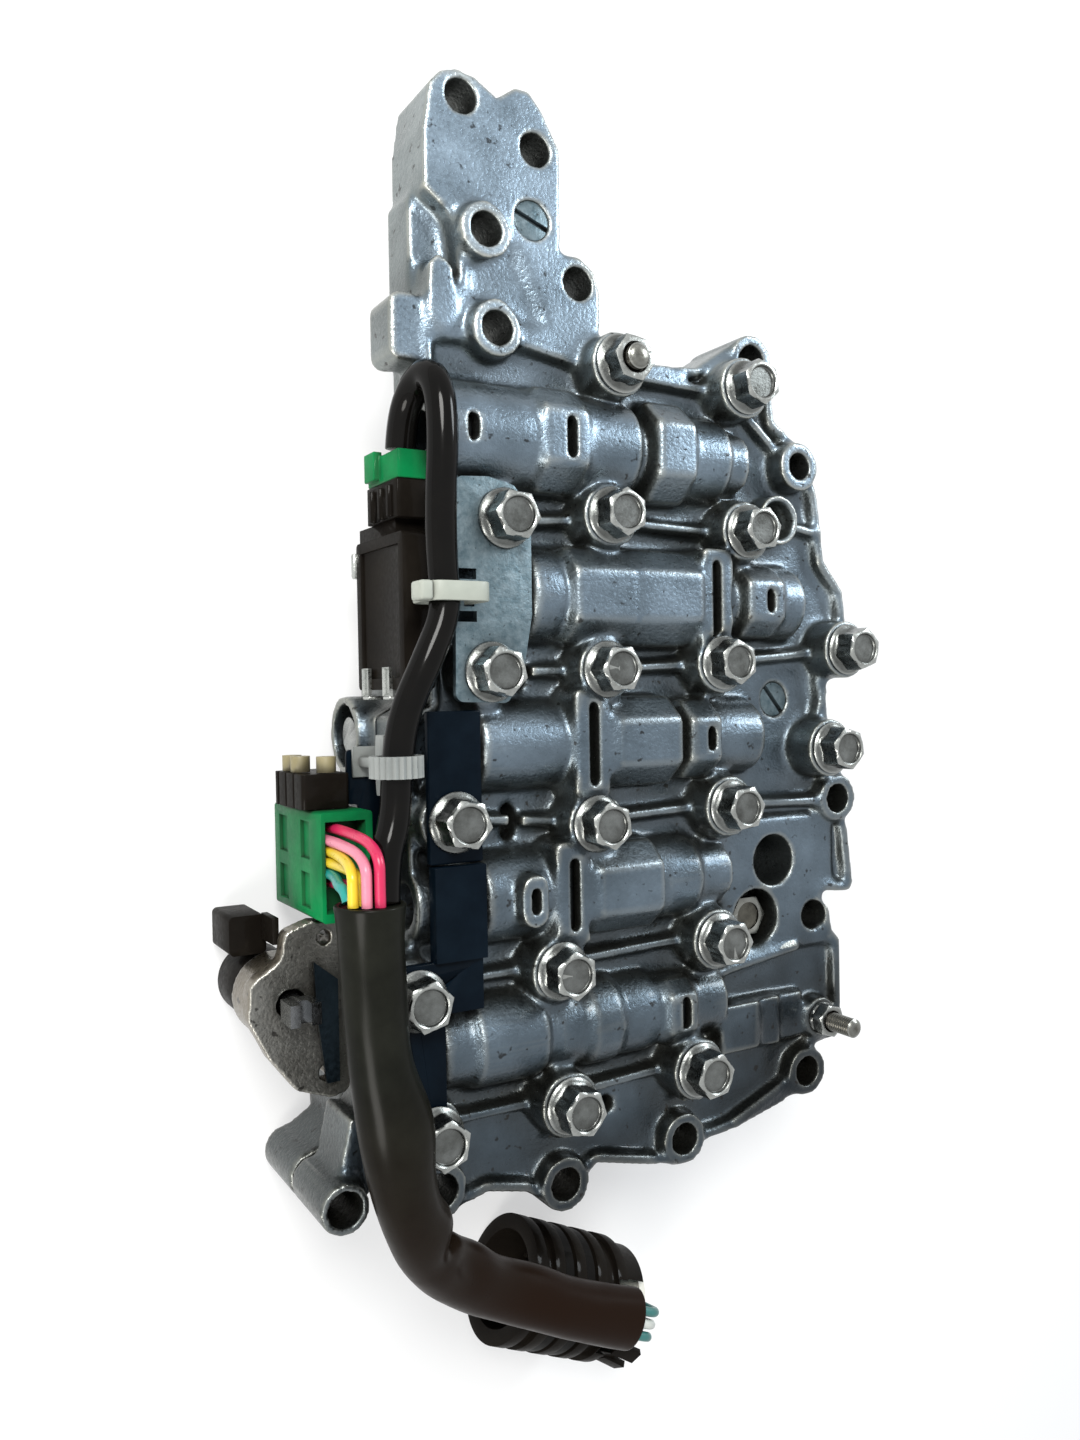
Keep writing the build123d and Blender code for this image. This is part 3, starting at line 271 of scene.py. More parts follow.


# painted shade gradient across the skin
shadeGradientSettings = {
    "lean": -0.35,  # how much darker towards the right side
    "reach": 0.15,  # the film runs from this far below the origin to this far above it
    "cloudScale": 22.0, "uneven": 0.12,
    "levels": [(0.05, 0.06), (0.12, 0.13), (0.20, 0.30), (0.31, 0.38), (0.55, 0.54), (0.73, 0.61), (0.93, 0.88)],
}


def buildShadeGradient(s):
    # painted shade: bright at the horn, darker towards the foot and the right side
    group, inside, outside = newGroup("oilFilm", {"Uneven": s["uneven"]}, ["Clean"])
    place = make(group, "ShaderNodeTexCoord")
    parts = make(group, "ShaderNodeSeparateXYZ")
    cloud = make(group, "ShaderNodeTexNoise", in_Scale=s["cloudScale"], in_Detail=3.0)
    link(group, place.outputs["Object"], parts.inputs[0])
    link(group, place.outputs["Object"], cloud.inputs["Vector"])
    across = maths(group, "MULTIPLY", parts.outputs["X"], s["lean"])
    along = maths(group, "ADD", parts.outputs["Y"], across)
    drift = maths(group, "SUBTRACT", cloud.outputs["Fac"], 0.5)
    total = maths(group, "ADD", along, maths(group, "MULTIPLY", drift, inside.outputs["Uneven"]))
    steps = make(group, "ShaderNodeValToRGB")
    stops = steps.color_ramp.elements
    last = len(s["levels"]) - 1
    for n, (at, level) in enumerate(s["levels"]):
        stop = stops[0] if n == 0 else stops[-1] if n == last else stops.new(at)
        stop.position = at
        stop.color = (level, level, level, 1)
    link(group, mapRange(group, total, -s["reach"], s["reach"], 0.0, 1.0), steps.inputs["Fac"])
    link(group, steps.outputs["Color"], outside.inputs["Clean"])
    return group


def buildSpecks():
    # small black pits and spots of dirt
    group, inside, outside = newGroup("specks", {"Scale": 420.0, "From": 0.66, "To": 0.72}, ["Speck"])
    place = make(group, "ShaderNodeTexCoord")
    dots = make(group, "ShaderNodeTexNoise", in_Detail=2.0, in_Roughness=0.55)
    link(group, place.outputs["Object"], dots.inputs["Vector"])
    link(group, inside.outputs["Scale"], dots.inputs["Scale"])
    ramp = make(group, "ShaderNodeMapRange")
    link(group, dots.outputs["Fac"], ramp.inputs["Value"])
    link(group, inside.outputs["From"], ramp.inputs[1])
    link(group, inside.outputs["To"], ramp.inputs[2])
    link(group, ramp.outputs["Result"], outside.inputs["Speck"])
    return group


grain = buildGrain()
edgeWearAndHighlight = buildEdgeWearAndHighlight()
hollowShade = buildHollowShade()
oilFilm = buildShadeGradient(shadeGradientSettings)
specks = buildSpecks()


plainFinish = {  # what a finish has unless it says otherwise
    "grainScale": 900.0, "patchScale": 40.0, "oil": 0.0, "oilTint": (1.0, 1.0, 1.0), "sideReflection": None, "wearAndHighlight": 0.0,
    "specks": 0.0, "speckScale": 420.0, "speck": (0.008, 0.007, 0.006), "foot": None, "hollow": 0.0,
    "hollowReach": 0.006, "soil": (0.02, 0.017, 0.014), "metallic": 0.0, "specular": 0.5, "coat": 0.0,
    "coatRough": 0.1, "bump": 0.2, "bumpDepth": 0.0003,
}


def metalOrPlastic(settings):
    # one recipe for all finishes: two tones in patches, worn edges with a painted highlight, painted shade in
    # hollows, fine bump
    s = {**plainFinish, **settings}
    material = bpy.data.materials.new(s["name"])
    material.use_nodes = True
    tree = material.node_tree
    shader = tree.nodes["Principled BSDF"]
    texture = useGroup(tree, grain, Scale=s["grainScale"], Patch_Scale=s["patchScale"])
    colour = blendColours(tree, texture.outputs["Patch"], s["dark"], s["light"])
    # painted shade gradient, darker towards the foot and the right side
    if s["oil"]:
        shadeRamp = useGroup(tree, oilFilm)
        kept = mapRange(tree, shadeRamp.outputs["Clean"], 0.0, 1.0, 1.0 - s["oil"], 1.0)
        shade = make(tree, "ShaderNodeCombineColor")
        for socket, power in zip(shade.inputs, s["oilTint"]):
            link(tree, maths(tree, "POWER", kept, power), socket)
        colour = blendColours(tree, 1.0, colour, shade.outputs[0], "MULTIPLY")
    # painted warm reflection on faces that lean away from the top
    if s["sideReflection"]:
        lean = make(tree, "ShaderNodeNewGeometry")
        parts = make(tree, "ShaderNodeSeparateXYZ")
        link(tree, lean.outputs["Normal"], parts.inputs[0])
        tilted = mapRange(tree, parts.outputs["Z"], 0.35, 0.92, s["sideReflectionShare"], 0.0)
        colour = blendColours(tree, tilted, colour, s["sideReflection"], "MULTIPLY")
    # worn edges with a painted highlight
    if s["wearAndHighlight"]:
        edge = useGroup(tree, edgeWearAndHighlight)
        wornAndHighlit = maths(tree, "MULTIPLY", edge.outputs["Edge"], s["wearAndHighlight"])
        if s["oil"]:
            wornAndHighlit = maths(tree, "MULTIPLY", wornAndHighlit, maths(tree, "POWER", kept, 0.6))
        colour = blendColours(tree, wornAndHighlit, colour, s["wornAndHighlit"])
    if s["specks"]:
        dots = useGroup(tree, specks, Scale=s["speckScale"])
        spotted = maths(tree, "MULTIPLY", dots.outputs["Speck"], s["specks"])
        colour = blendColours(tree, spotted, colour, s["speck"])
    # painted brown reflection along one end of the piece
    if s["foot"]:
        start, end, tint = s["foot"]
        place = make(tree, "ShaderNodeTexCoord")
        parts = make(tree, "ShaderNodeSeparateXYZ")
        link(tree, place.outputs["Object"], parts.inputs[0])
        colour = blendColours(tree, mapRange(tree, parts.outputs["Y"], start, end, 0.0, 1.0), colour, tint)
    if s["hollow"]:
        # painted shade in hollows, from ambient occlusion
        hollowShading = useGroup(tree, hollowShade, Reach=s["hollowReach"])
        soiled = maths(tree, "MULTIPLY", maths(tree, "SUBTRACT", 1.0, hollowShading.outputs["Clean"]), s["hollow"])
        colour = blendColours(tree, soiled, colour, s["soil"])
    link(tree, colour, shader.inputs["Base Color"])
    rough = mapRange(tree, texture.outputs["Height"], 0.4, 0.9, *s["rough"])
    link(tree, rough, shader.inputs["Roughness"])
    shader.inputs["Metallic"].default_value = s["metallic"]
    shader.inputs["Coat Weight"].default_value = s["coat"]
    shader.inputs["Specular IOR Level"].default_value = s["specular"]
    shader.inputs["Coat Roughness"].default_value = s["coatRough"]
    bump = make(tree, "ShaderNodeBump", in_Strength=s["bump"], in_Distance=s["bumpDepth"])
    link(tree, texture.outputs["Height"], bump.inputs["Height"])
    link(tree, bump.outputs["Normal"], shader.inputs["Normal"])
    return material


castSettings = {
    "name": "castAluminium", "dark": (0.15, 0.20, 0.245), "light": (0.31, 0.40, 0.49), "metallic": 0.9,
    "rough": (0.22, 0.46), "grainScale": 1100.0, "patchScale": 55.0, "bump": 0.45, "bumpDepth": 0.0004,
    # the hollow settings paint shade in the hollows; the edge settings paint wear and a highlight on edges
    "wearAndHighlight": 0.75, "wornAndHighlit": (0.58, 0.57, 0.49), "hollow": 0.74, "hollowReach": 0.009, "soil": (0.035, 0.032, 0.024),
    "sideReflection": (1.0, 0.84, 0.64), "sideReflectionShare": 0.8,  # painted warm reflection where the skin leans away from the top
    # painted shade gradient over the skin
    "oil": 1.0, "oilTint": (1.0, 0.97, 0.96), "specks": 0.8, "coat": 0.2,
}
castAluminium = metalOrPlastic(castSettings)
brownCast = metalOrPlastic({
    **castSettings, "name": "brownCast", "dark": (0.13, 0.125, 0.11), "light": (0.25, 0.25, 0.235),
    "wornAndHighlit": (0.45, 0.44, 0.40), "oil": 0.3,
})
zincSettings = {
    "name": "zincSteel", "dark": (0.085, 0.09, 0.085), "light": (0.22, 0.235, 0.23), "metallic": 1.0,
    "rough": (0.18, 0.4), "grainScale": 1600.0, "patchScale": 220.0, "bump": 0.15, "wearAndHighlight": 0.6,
    "wornAndHighlit": (0.52, 0.54, 0.52), "hollow": 0.85, "hollowReach": 0.004, "coat": 0.3, "oil": 0.35,
}
zincSteel = metalOrPlastic(zincSettings)
brownZinc = metalOrPlastic({
    **zincSettings, "name": "brownZinc", "dark": (0.10, 0.075, 0.045), "light": (0.25, 0.20, 0.14),
    "wornAndHighlit": (0.52, 0.46, 0.36),
})
# painted shade: a darker copy of the zinc for the bolts' hex sides; also the darker zinc of the studs and the sunk
# bolt
darkZincAndShade = metalOrPlastic({
    **zincSettings, "name": "darkZincAndShade", "dark": (0.035, 0.033, 0.026), "light": (0.15, 0.145, 0.12),
    "wearAndHighlight": 0.5, "bump": 0.08,
})
# painted shade: a dark copy of the zinc for the bolts' dished tops
shadedZincDish = metalOrPlastic({
    **zincSettings, "name": "shadedZincDish", "dark": (0.03, 0.042, 0.047), "light": (0.06, 0.08, 0.087),
    "rough": (0.3, 0.4), "patchScale": 260.0, "wearAndHighlight": 0.0, "hollow": 0.0, "bump": 0.02, "coat": 0.0,
})
# painted highlight: a bright copy of the zinc for the bolts' top rims; also the bright zinc of the box clips
brightZincAndHighlight = metalOrPlastic({
    **zincSettings, "name": "brightZincAndHighlight", "dark": (0.34, 0.36, 0.34), "light": (0.58, 0.60, 0.57), "hollow": 0.2,
})
speckledZinc = metalOrPlastic({
    "name": "speckledZinc", "dark": (0.07, 0.11, 0.13), "light": (0.17, 0.22, 0.245), "metallic": 0.9,
    "rough": (0.3, 0.5), "grainScale": 1300.0, "patchScale": 420.0, "bump": 0.3, "hollow": 0.6,
    "specks": 0.7, "speckScale": 900.0,
})
steelPlate = metalOrPlastic({
    "name": "rolledSteel", "dark": (0.008, 0.016, 0.022), "light": (0.03, 0.045, 0.058), "metallic": 1.0,
    "rough": (0.25, 0.5), "hollow": 0.8,
})
groundSteel = metalOrPlastic({
    "name": "groundSteel", "dark": (0.14, 0.15, 0.16), "light": (0.24, 0.25, 0.26), "metallic": 1.0,
    "rough": (0.15, 0.3), "bump": 0.05,
})
# black sheet; on the two covers it is painted shade over casting sides that lie in shade
blackSteelAndShade = metalOrPlastic({
    "name": "blackSheetAndShade", "dark": (0.001, 0.003, 0.006), "light": (0.003, 0.007, 0.012),
    "rough": (0.28, 0.5), "patchScale": 90.0, "bump": 0.08, "specular": 0.02, "coat": 0.06,
})
blackPlastic = metalOrPlastic({
    "name": "blackPlastic", "dark": (0.004, 0.0032, 0.0026), "light": (0.011, 0.009, 0.007),
    "rough": (0.28, 0.5), "bump": 0.1, "specular": 0.01, "coat": 0.07,
})
greyPlastic = metalOrPlastic({
    "name": "greyNylon", "dark": (0.16, 0.175, 0.17), "light": (0.27, 0.285, 0.275),
    "rough": (0.4, 0.6), "bump": 0.08, "hollow": 0.7,
})
creamNylon = metalOrPlastic({
    "name": "creamNylon", "dark": (0.24, 0.26, 0.225), "light": (0.38, 0.40, 0.35),
    "rough": (0.4, 0.6), "bump": 0.06, "hollow": 0.6,
})
whitePlastic = metalOrPlastic({
    "name": "whiteNylon", "dark": (0.62, 0.6, 0.52), "light": (0.78, 0.77, 0.7),
    "rough": (0.35, 0.55), "bump": 0.06, "hollow": 0.8,
})
tanPlastic = metalOrPlastic({
    "name": "tanNylon", "dark": (0.16, 0.135, 0.065), "light": (0.30, 0.26, 0.14),
    "rough": (0.35, 0.55), "bump": 0.06, "hollow": 0.8,
})
greenPlastic = metalOrPlastic({
    "name": "greenNylon", "dark": (0.002, 0.09, 0.028), "light": (0.004, 0.22, 0.062),
    "rough": (0.3, 0.45), "bump": 0.05, "hollow": 0.8, "specular": 0.03, "coat": 0.05,
})
vinylSettings = {
    "name": "blackVinyl", "dark": (0.0015, 0.0015, 0.0015), "light": (0.004, 0.0035, 0.003),
    "rough": (0.12, 0.26), "grainScale": 260.0, "patchScale": 60.0, "bump": 0.10, "specular": 0.02,
    "coat": 0.2, "coatRough": 0.08,
}
blackVinyl = metalOrPlastic(vinylSettings)
sleeveVinyl = metalOrPlastic({
    **vinylSettings, "name": "sleeveVinyl", "dark": (0.004, 0.0042, 0.003), "light": (0.011, 0.0115, 0.0085),
    "rough": (0.26, 0.42), "specular": 0.02, "coat": 0.11, "coatRough": 0.24,
    "foot": (-0.085, -0.15, (0.009, 0.0036, 0.0014)),  # painted brown reflection, browner towards the case connector
})
sealRubber = metalOrPlastic({**vinylSettings, "name": "sealRubber", "rough": (0.4, 0.6), "coat": 0.1})


insulation = {"rough": (0.25, 0.4), "bump": 0.04}
wireShade = 0.7  # the darker of a wire's two tones
wireColours = {
    "crimson": (0.65, 0.02, 0.10), "yellow": (0.85, 0.62, 0.03), "pink": (0.8, 0.25, 0.35),
    "teal": (0.01, 0.30, 0.27), "light": (0.6, 0.62, 0.58), "dark": (0.03, 0.16, 0.15),
}


def wireFinish(name, colour):
    dark = tuple(c * wireShade for c in colour)
    return metalOrPlastic({**insulation, "name": name + "Wire", "dark": dark, "light": colour})


wireFinishes = {name: wireFinish(name, colour) for name, colour in wireColours.items()}
print("materials made")


# cords
thinConduit = {
    "radius": 3.4,
    "route": [
        (-50.0, 12.6, 40.6), (-49.8, 19.0, 41.2), (-48.9, 25.5, 45.5), (-48.2, 27.5, 52.0), (-47.6, 22.5, 56.5),
        (-47.6, 12.0, 57.6), (-48.2, -2.0, 56.8), (-47.2, -14.0, 55.0), (-46.4, -24.0, 55.2), (-51.5, -34.5, 56.0),
        (-56.6, -46.0, 54.5), (-58.2, -57.0, 54.2), (-59.2, -67.5, 55.6), (-62.7, -76.0, 57.0), (-62.7, -84.2, 57.0),
    ],
}
thickConduit = {
    "radius": 6.8,
    "route": [
        (-66.0, -84.3, 57.5), (-66.0, -95.0, 57.5), (-65.6, -108.0, 58.6), (-64.6, -121.0, 59.4),
        (-62.9, -135.0, 59.6), (-58.6, -149.6, 57.0), (-51.0, -164.4, 50.2), (-38.5, -176.0, 43.6),
        (-23.5, -185.0, 40.6), (-8.0, -193.4, 40.2), (8.4, -200.4, 40.2),
    ],
}


def splineCurve(name, route, radius, roundness=6):
    data = bpy.data.curves.new(name, "CURVE")
    data.dimensions = "3D"
    data.resolution_u = 16
    data.bevel_depth = radius * mm
    data.bevel_resolution = roundness
    data.use_fill_caps = True
    line = data.splines.new("NURBS")
    line.points.add(len(route) - 1)
    for point, place in zip(line.points, route):
        point.co = (*spot(*place), 1.0)
    line.order_u = 3
    line.use_endpoint_u = True
    piece = bpy.data.objects.new(name, data)
    bpy.context.scene.collection.objects.link(piece)
    return piece


def centreOf(route):
    # points of the smooth line that a route makes
    bare = splineCurve("bareLine", route, 0.0)
    mesh = bpy.data.meshes.new_from_object(bare)
    line = [v.co.copy() for v in mesh.vertices]
    bpy.data.meshes.remove(mesh)
    bpy.data.curves.remove(bare.data)
    return line


thin = splineCurve("thinConduit", thinConduit["route"], thinConduit["radius"])
thin.data.materials.append(blackVinyl)
finishPiece(thin, "conduit_black", "thin_conduit")

tubeSettings = {
    "sides": 56, "step": 1.1, "flare": 0.7, "flareLength": 9.0, "wall": 1.1, "sink": 0.5,
    "tail": 24.0, "tailFlat": 0.16, "wrinkle": 0.10,
    "dents": [  # distance along, angle from the inner side, reach along, reach round, amount
        (47.0, 0, 10.0, 65, 2.5), (30.0, 0, 8.0, 60, -0.7), (81.0, 8, 3.6, 60, -3.2), (73.0, 5, 4.5, 60, 1.1),
        (92.0, 55, 8.0, 40, -1.8), (99.0, 5, 8.0, 50, 1.2), (113.0, 70, 14.0, 50, -0.8), (122.0, 5, 10.0, 45, 0.9),
    ],
}


def frameAlong(line):
    # length so far and the direction at each point of a line
    total = [0.0]
    for a, b in zip(line, line[1:]):
        total.append(total[-1] + (b - a).length / mm)
    ways = [(b - a).normalized() for a, b in zip(line, line[1:])]
    ways.append(ways[-1])
    return total, ways


def bendAlong(verts, line, shape):
    # moves a straight tube along Z onto a line; shape gives a scale for the radius
    total, ways = frameAlong(line)
    count = len(line)
    for v in verts:
        along = min(max(v.co.z, 0.0), total[-1])
        n = min(int(np.searchsorted(total, along)), count - 1)
        back = max(n - 1, 0)
        share = (along - total[back]) / max(total[n] - total[back], 1e-9)
        centre = line[back].lerp(line[n], share)
        way = ways[back].lerp(ways[n], share).normalized()
        side = Vector((0, 0, 1)).cross(way).normalized()
        rise = way.cross(side)
        x, y = shape(v.co.z, v.co.x, v.co.y)
        v.co = centre + (side * x + rise * y + way * (v.co.z - along)) * mm


def makeThick(s):
    line = centreOf(thickConduit["route"])
    length = frameAlong(line)[0][-1]
    radius = thickConduit["radius"]
    inner = radius - s["wall"]
    lip = [(0.8, s["sink"]), (inner, s["sink"]), (inner, 0.1), (inner + 0.15, 0.0), (radius - 0.3, 0.0),
           (radius - 0.05, 0.15), (radius, 0.45)]  # from the sunk middle out over the cut edge
    start = 0.8
    count = round((length - 2 * start) / s["step"])
    rings = [(reach, height, 0) for reach, height in lip]
    rings += [(radius, start + (length - 2 * start) * n / count, 0) for n in range(count + 1)]
    rings += [(reach, length - height, 0) for reach, height in reversed(lip)]

    def shape(along, x, y):
        reach = (x * x + y * y) ** 0.5
        angle = atan2(y, x)
        more = s["flare"] * max(0.0, 1 - along / s["flareLength"]) ** 2
        for at, turn, far, wide, amount in s["dents"]:
            apart = abs((angle - radians(turn) + pi) % (2 * pi) - pi)
            more += amount * exp(-((along - at) / far) ** 2 - (apart / radians(wide)) ** 2)
        more += s["wrinkle"] * noise.noise(Vector((cos(angle) * 1.5, sin(angle) * 1.5, along * 0.12)))
        size = (reach + more * min(1.0, reach / radius)) / max(reach, 1e-6)
        flat = s["tailFlat"] * max(0.0, 1 - (length - along) / s["tail"])
        return x * size * (1 + flat * 0.7), y * size * (1 - flat)

    bm = bmesh.new()
    verts = lathe(bm, rings, s["sides"])
    bendAlong(verts, line, shape)
    bmesh.ops.recalc_face_normals(bm, faces=bm.faces)
    piece = newPiece("thickConduit", bm, sleeveVinyl)
    piece.data.set_sharp_from_angle(angle=radians(60))
    return finishPiece(piece, "conduit_black", "thick_conduit"), line


thick, thickLine = makeThick(tubeSettings)

wireSettings = {
    "radius": 1.15, "roundness": 4,
    "green": 40.0, "sunk": 5.7,  # top of the green connector, and how deep a wire starts in it
    "mouth": (-66.0, -84.0, 57.5),  # middle of the thick conduit's open end
    "nearSide": -79.0,  # wires past this row run close to the mouth
    "runs": [  # colour, node, start on the connector, place in the mouth
        ("crimson", "wires_crimson", (-66.2, -70.8), (0.3, 4.8)),
        ("yellow", "wires_yellow", (-67.6, -75.6), (-4.4, 2.0)),
        ("pink", "wire_pink", (-67.9, -73.2), (-2.2, 3.9)),
        ("yellow", "wires_yellow", (-67.9, -78.0), (-1.8, 1.0)),
        ("teal", "wire_teal", (-67.9, -80.4), (-4.5, -0.9)),
        ("crimson", "wires_crimson", (-66.6, -82.8), (-1.3, -1.9)),
    ],
}


def wireRoute(s, start, end):
    x, y = start
    mouthX, mouthY, mouthZ = s["mouth"]
    endX, endZ = mouthX + end[0], mouthZ + end[1]
    near = y < s["nearSide"]
    route = [(x, y, s["green"] - s["sunk"]), (x, y + 0.3, s["green"] + (2.0 if near else 3.5))]
    if near:
        route += [(endX, mouthY + 3.0, endZ - 5.0), (endX, mouthY + 2.5, endZ - 1.2)]
    else:
        route += [(endX - 0.2, y + 0.3 - 0.12 * (y - mouthY), endZ + 0.4), (endX, mouthY + 2.2, endZ)]
    route.append((endX, mouthY + (0.35 if near else -0.25), endZ))
    return route


def layWires(s):
    laid = []
    for n, (colour, node, start, end) in enumerate(s["runs"]):
        wire = splineCurve(f"{colour}Wire{n}", wireRoute(s, start, end), s["radius"], s["roundness"])
        wire.data.materials.append(wireFinishes[colour])
        laid.append(finishPiece(wire, colour + "_wire", node))
    return laid


wires = layWires(wireSettings)
print("cords laid")

# plain nodes get their finish and rounded edges
finishes = {
    "separator_plate": steelPlate, "sunk_bolt": darkZincAndShade, "passage_plugs": speckledZinc, "check_balls": groundSteel,
    # the two covers are dressed black as painted shade over the casting's shaded sides
    "retainer_keys": steelPlate, "harness_bracket": speckledZinc, "upper_cover": blackSteelAndShade,
    "lower_cover": blackSteelAndShade, "electronics_box": blackPlastic, "module_connector": blackPlastic,
    "connector_lock": greenPlastic, "pressure_solenoid": zincSteel, "connector_sheet": blackSteelAndShade,
    "terminal_block": blackPlastic, "terminal_caps": tanPlastic, "green_connector": greenPlastic,
    "stepper_motor": blackPlastic, "motor_rod": groundSteel, "motor_connector": blackPlastic,
    "motor_clip": blackPlastic, "ratio_sheet": steelPlate, "case_connector": blackPlastic,
    "case_seals": sealRubber, "wire_retainer": whitePlastic, "tail_wires_light": wireFinishes["light"],
    "tail_wires_dark": wireFinishes["dark"], "manual_valve": groundSteel,
}
for row in range(1, 6):
    finishes[f"spool_{row}"] = groundSteel
    finishes[f"bore_plug_{row}"] = groundSteel
for name, material in finishes.items():
    node = nodes[name]
    node.data.materials.clear()
    node.data.materials.append(material)

rounded = {  # bevel width in millimetres
    "harness_bracket": 0.25, "upper_cover": 0.4, "lower_cover": 0.4, "electronics_box": 0.5,
    "module_connector": 0.3, "connector_lock": 0.4, "green_connector": 0.35, "terminal_block": 0.4,
    "terminal_caps": 0.4, "motor_connector": 0.5, "stepper_motor": 0.6, "motor_clip": 0.2,
    "case_connector": 0.3, "wire_retainer": 0.25, "passage_plugs": 0.25, "sunk_bolt": 0.3,
    "connector_sheet": 0.15, "retainer_keys": 0.15,
}
sharpFrom = radians(32)
for name, size in rounded.items():
    node = nodes[name]
    weld = node.modifiers.new("weld", "WELD")
    weld.merge_threshold = 1e-6
    edge = node.modifiers.new("edge", "BEVEL")
    edge.width = size * mm
    edge.segments = 2
    edge.limit_method = "ANGLE"
    edge.angle_limit = sharpFrom
    node.data.polygons.foreach_set("use_smooth", [True] * len(node.data.polygons))
    node.data.set_sharp_from_angle(angle=sharpFrom)
print("plain nodes dressed")


# castings
slotSettings = {  # slots over the bores, left crisp
    "places": [  # middle and length
        (-37.1, 17.0, 6.0), (30.7, -19.0, 19.0), (28.1, -54.0, 6.0), (-12.6, -89.0, 17.0), (19.7, -122.0, 8.0),
        (48.4, -19.0, 6.0), (-24.3, -89.0, 6.0), (-12.0, 17.0, 9.5), (-6.6, -54.0, 19.5),
    ],
    "across": 2.1, "along": 0.9, "above": 38,
}


def overNeighbours(values, a, b, count):
    # sum of a value over each vertex's neighbours
    return np.bincount(a, values[b], count) + np.bincount(b, values[a], count)


def hollowWeights(mesh, spread, limit):
    # one where a corner is hollow, falling to nothing a few cells away
    count = len(mesh.vertices)
    places = np.empty((count, 3))
    mesh.vertices.foreach_get("co", places.ravel())
    normals = np.empty((count, 3), dtype=np.float32)
    mesh.vertices.foreach_get("normal", normals.ravel())
    pairs = np.empty(len(mesh.edges) * 2, dtype=np.int32)
    mesh.edges.foreach_get("vertices", pairs)
    a, b = pairs[0::2], pairs[1::2]
    valence = np.maximum(np.bincount(a, minlength=count) + np.bincount(b, minlength=count), 1)
    step = np.sqrt(((places[a] - places[b]) ** 2).sum(1)).mean()
    lean = np.zeros(count)
    for axis in range(3):
        around = overNeighbours(places[:, axis], a, b, count) / valence
        lean += (around - places[:, axis]) * normals[:, axis]
    lean /= step
    for _ in range(2):
        lean = 0.5 * lean + 0.5 * overNeighbours(lean, a, b, count) / valence
    mask = (lean > limit).astype(float)
    for _ in range(spread):
        mask = np.maximum(mask, (overNeighbours(mask, a, b, count) > 0.5).astype(float))
    for _ in range(3):
        mask = 0.5 * mask + 0.5 * overNeighbours(mask, a, b, count) / valence
    flat = places / mm - np.array(bodyShift)
    s = slotSettings
    for x, y, length in s["places"]:
        near = (abs(flat[:, 0] - x) < s["across"]) & (abs(flat[:, 1] - y) < length / 2 + s["along"])
        mask[near & (flat[:, 2] > s["above"])] = 0
    return mask


def setWeights(piece, weights):
    group = piece.vertex_groups.new(name="hollow")
    levels = np.round(weights * 4).astype(int)
    for level in range(1, 5):
        chosen = np.nonzero(levels == level)[0]
        if len(chosen):
            group.add(chosen.tolist(), level / 4, "REPLACE")


def castShell(s, source):
    # merged copy of the solid, its hollow corners filled and its skin softened as a mould leaves them
    bm = bmesh.new()
    bm.from_mesh(nodes[source].data)
    bmesh.ops.remove_doubles(bm, verts=bm.verts, dist=1e-6)
    draft = newPiece(s["name"] + "Draft", bm)
    cells = draft.modifiers.new("cells", "REMESH")
    cells.mode = "VOXEL"
    cells.voxel_size = s["voxel"] * 1.0
    draft.data = evaluated(draft)
    draft.modifiers.clear()
    for spread in s["fills"]:
        draft.vertex_groups.clear()
        setWeights(draft, hollowWeights(draft.data, spread, s["hollowFrom"]))
        fill = draft.modifiers.new("fill", "SMOOTH")
        fill.factor = 0.5
        fill.iterations = s["fillRounds"]
        fill.vertex_group = "hollow"
        draft.data = evaluated(draft)
        draft.modifiers.clear()
    relax = draft.modifiers.new("relax", "SMOOTH")
    relax.factor = 0.5
    relax.iterations = s["soften"]
    thinner = draft.modifiers.new("thinner", "DECIMATE")
    thinner.ratio = s["keep"]
    mesh = evaluated(draft)
    bpy.data.objects.remove(draft)
    piece = dress(s["name"], mesh, s["material"])
    print(s["name"], "triangles", sum(len(p.vertices) - 2 for p in mesh.polygons))
    return finishPiece(piece, "cast_aluminium", source)


castings = {  # voxel is the cell size, fills is how many cells its hollows spread, keep is the share of faces
    "front_casting": {
        "name": "frontCasting", "voxel": 0.0006, "fills": (5, 5), "fillRounds": 40, "soften": 5, "keep": 0.23,
        "hollowFrom": 0.06, "material": castAluminium,
    },
    "rear_casting": {
        "name": "rearCasting", "voxel": 0.0008, "fills": (3,), "fillRounds": 20, "soften": 3, "keep": 0.3,
        "hollowFrom": 0.06, "material": castAluminium,
    },
    "motor_bracket": {
        "name": "motorBracket", "voxel": 0.0005, "fills": (3,), "fillRounds": 12, "soften": 2, "keep": 0.4,
        "hollowFrom": 0.06, "material": brownCast,
    },
}
for node, settings in castings.items():
    castShell(settings, node)
print("castings made")

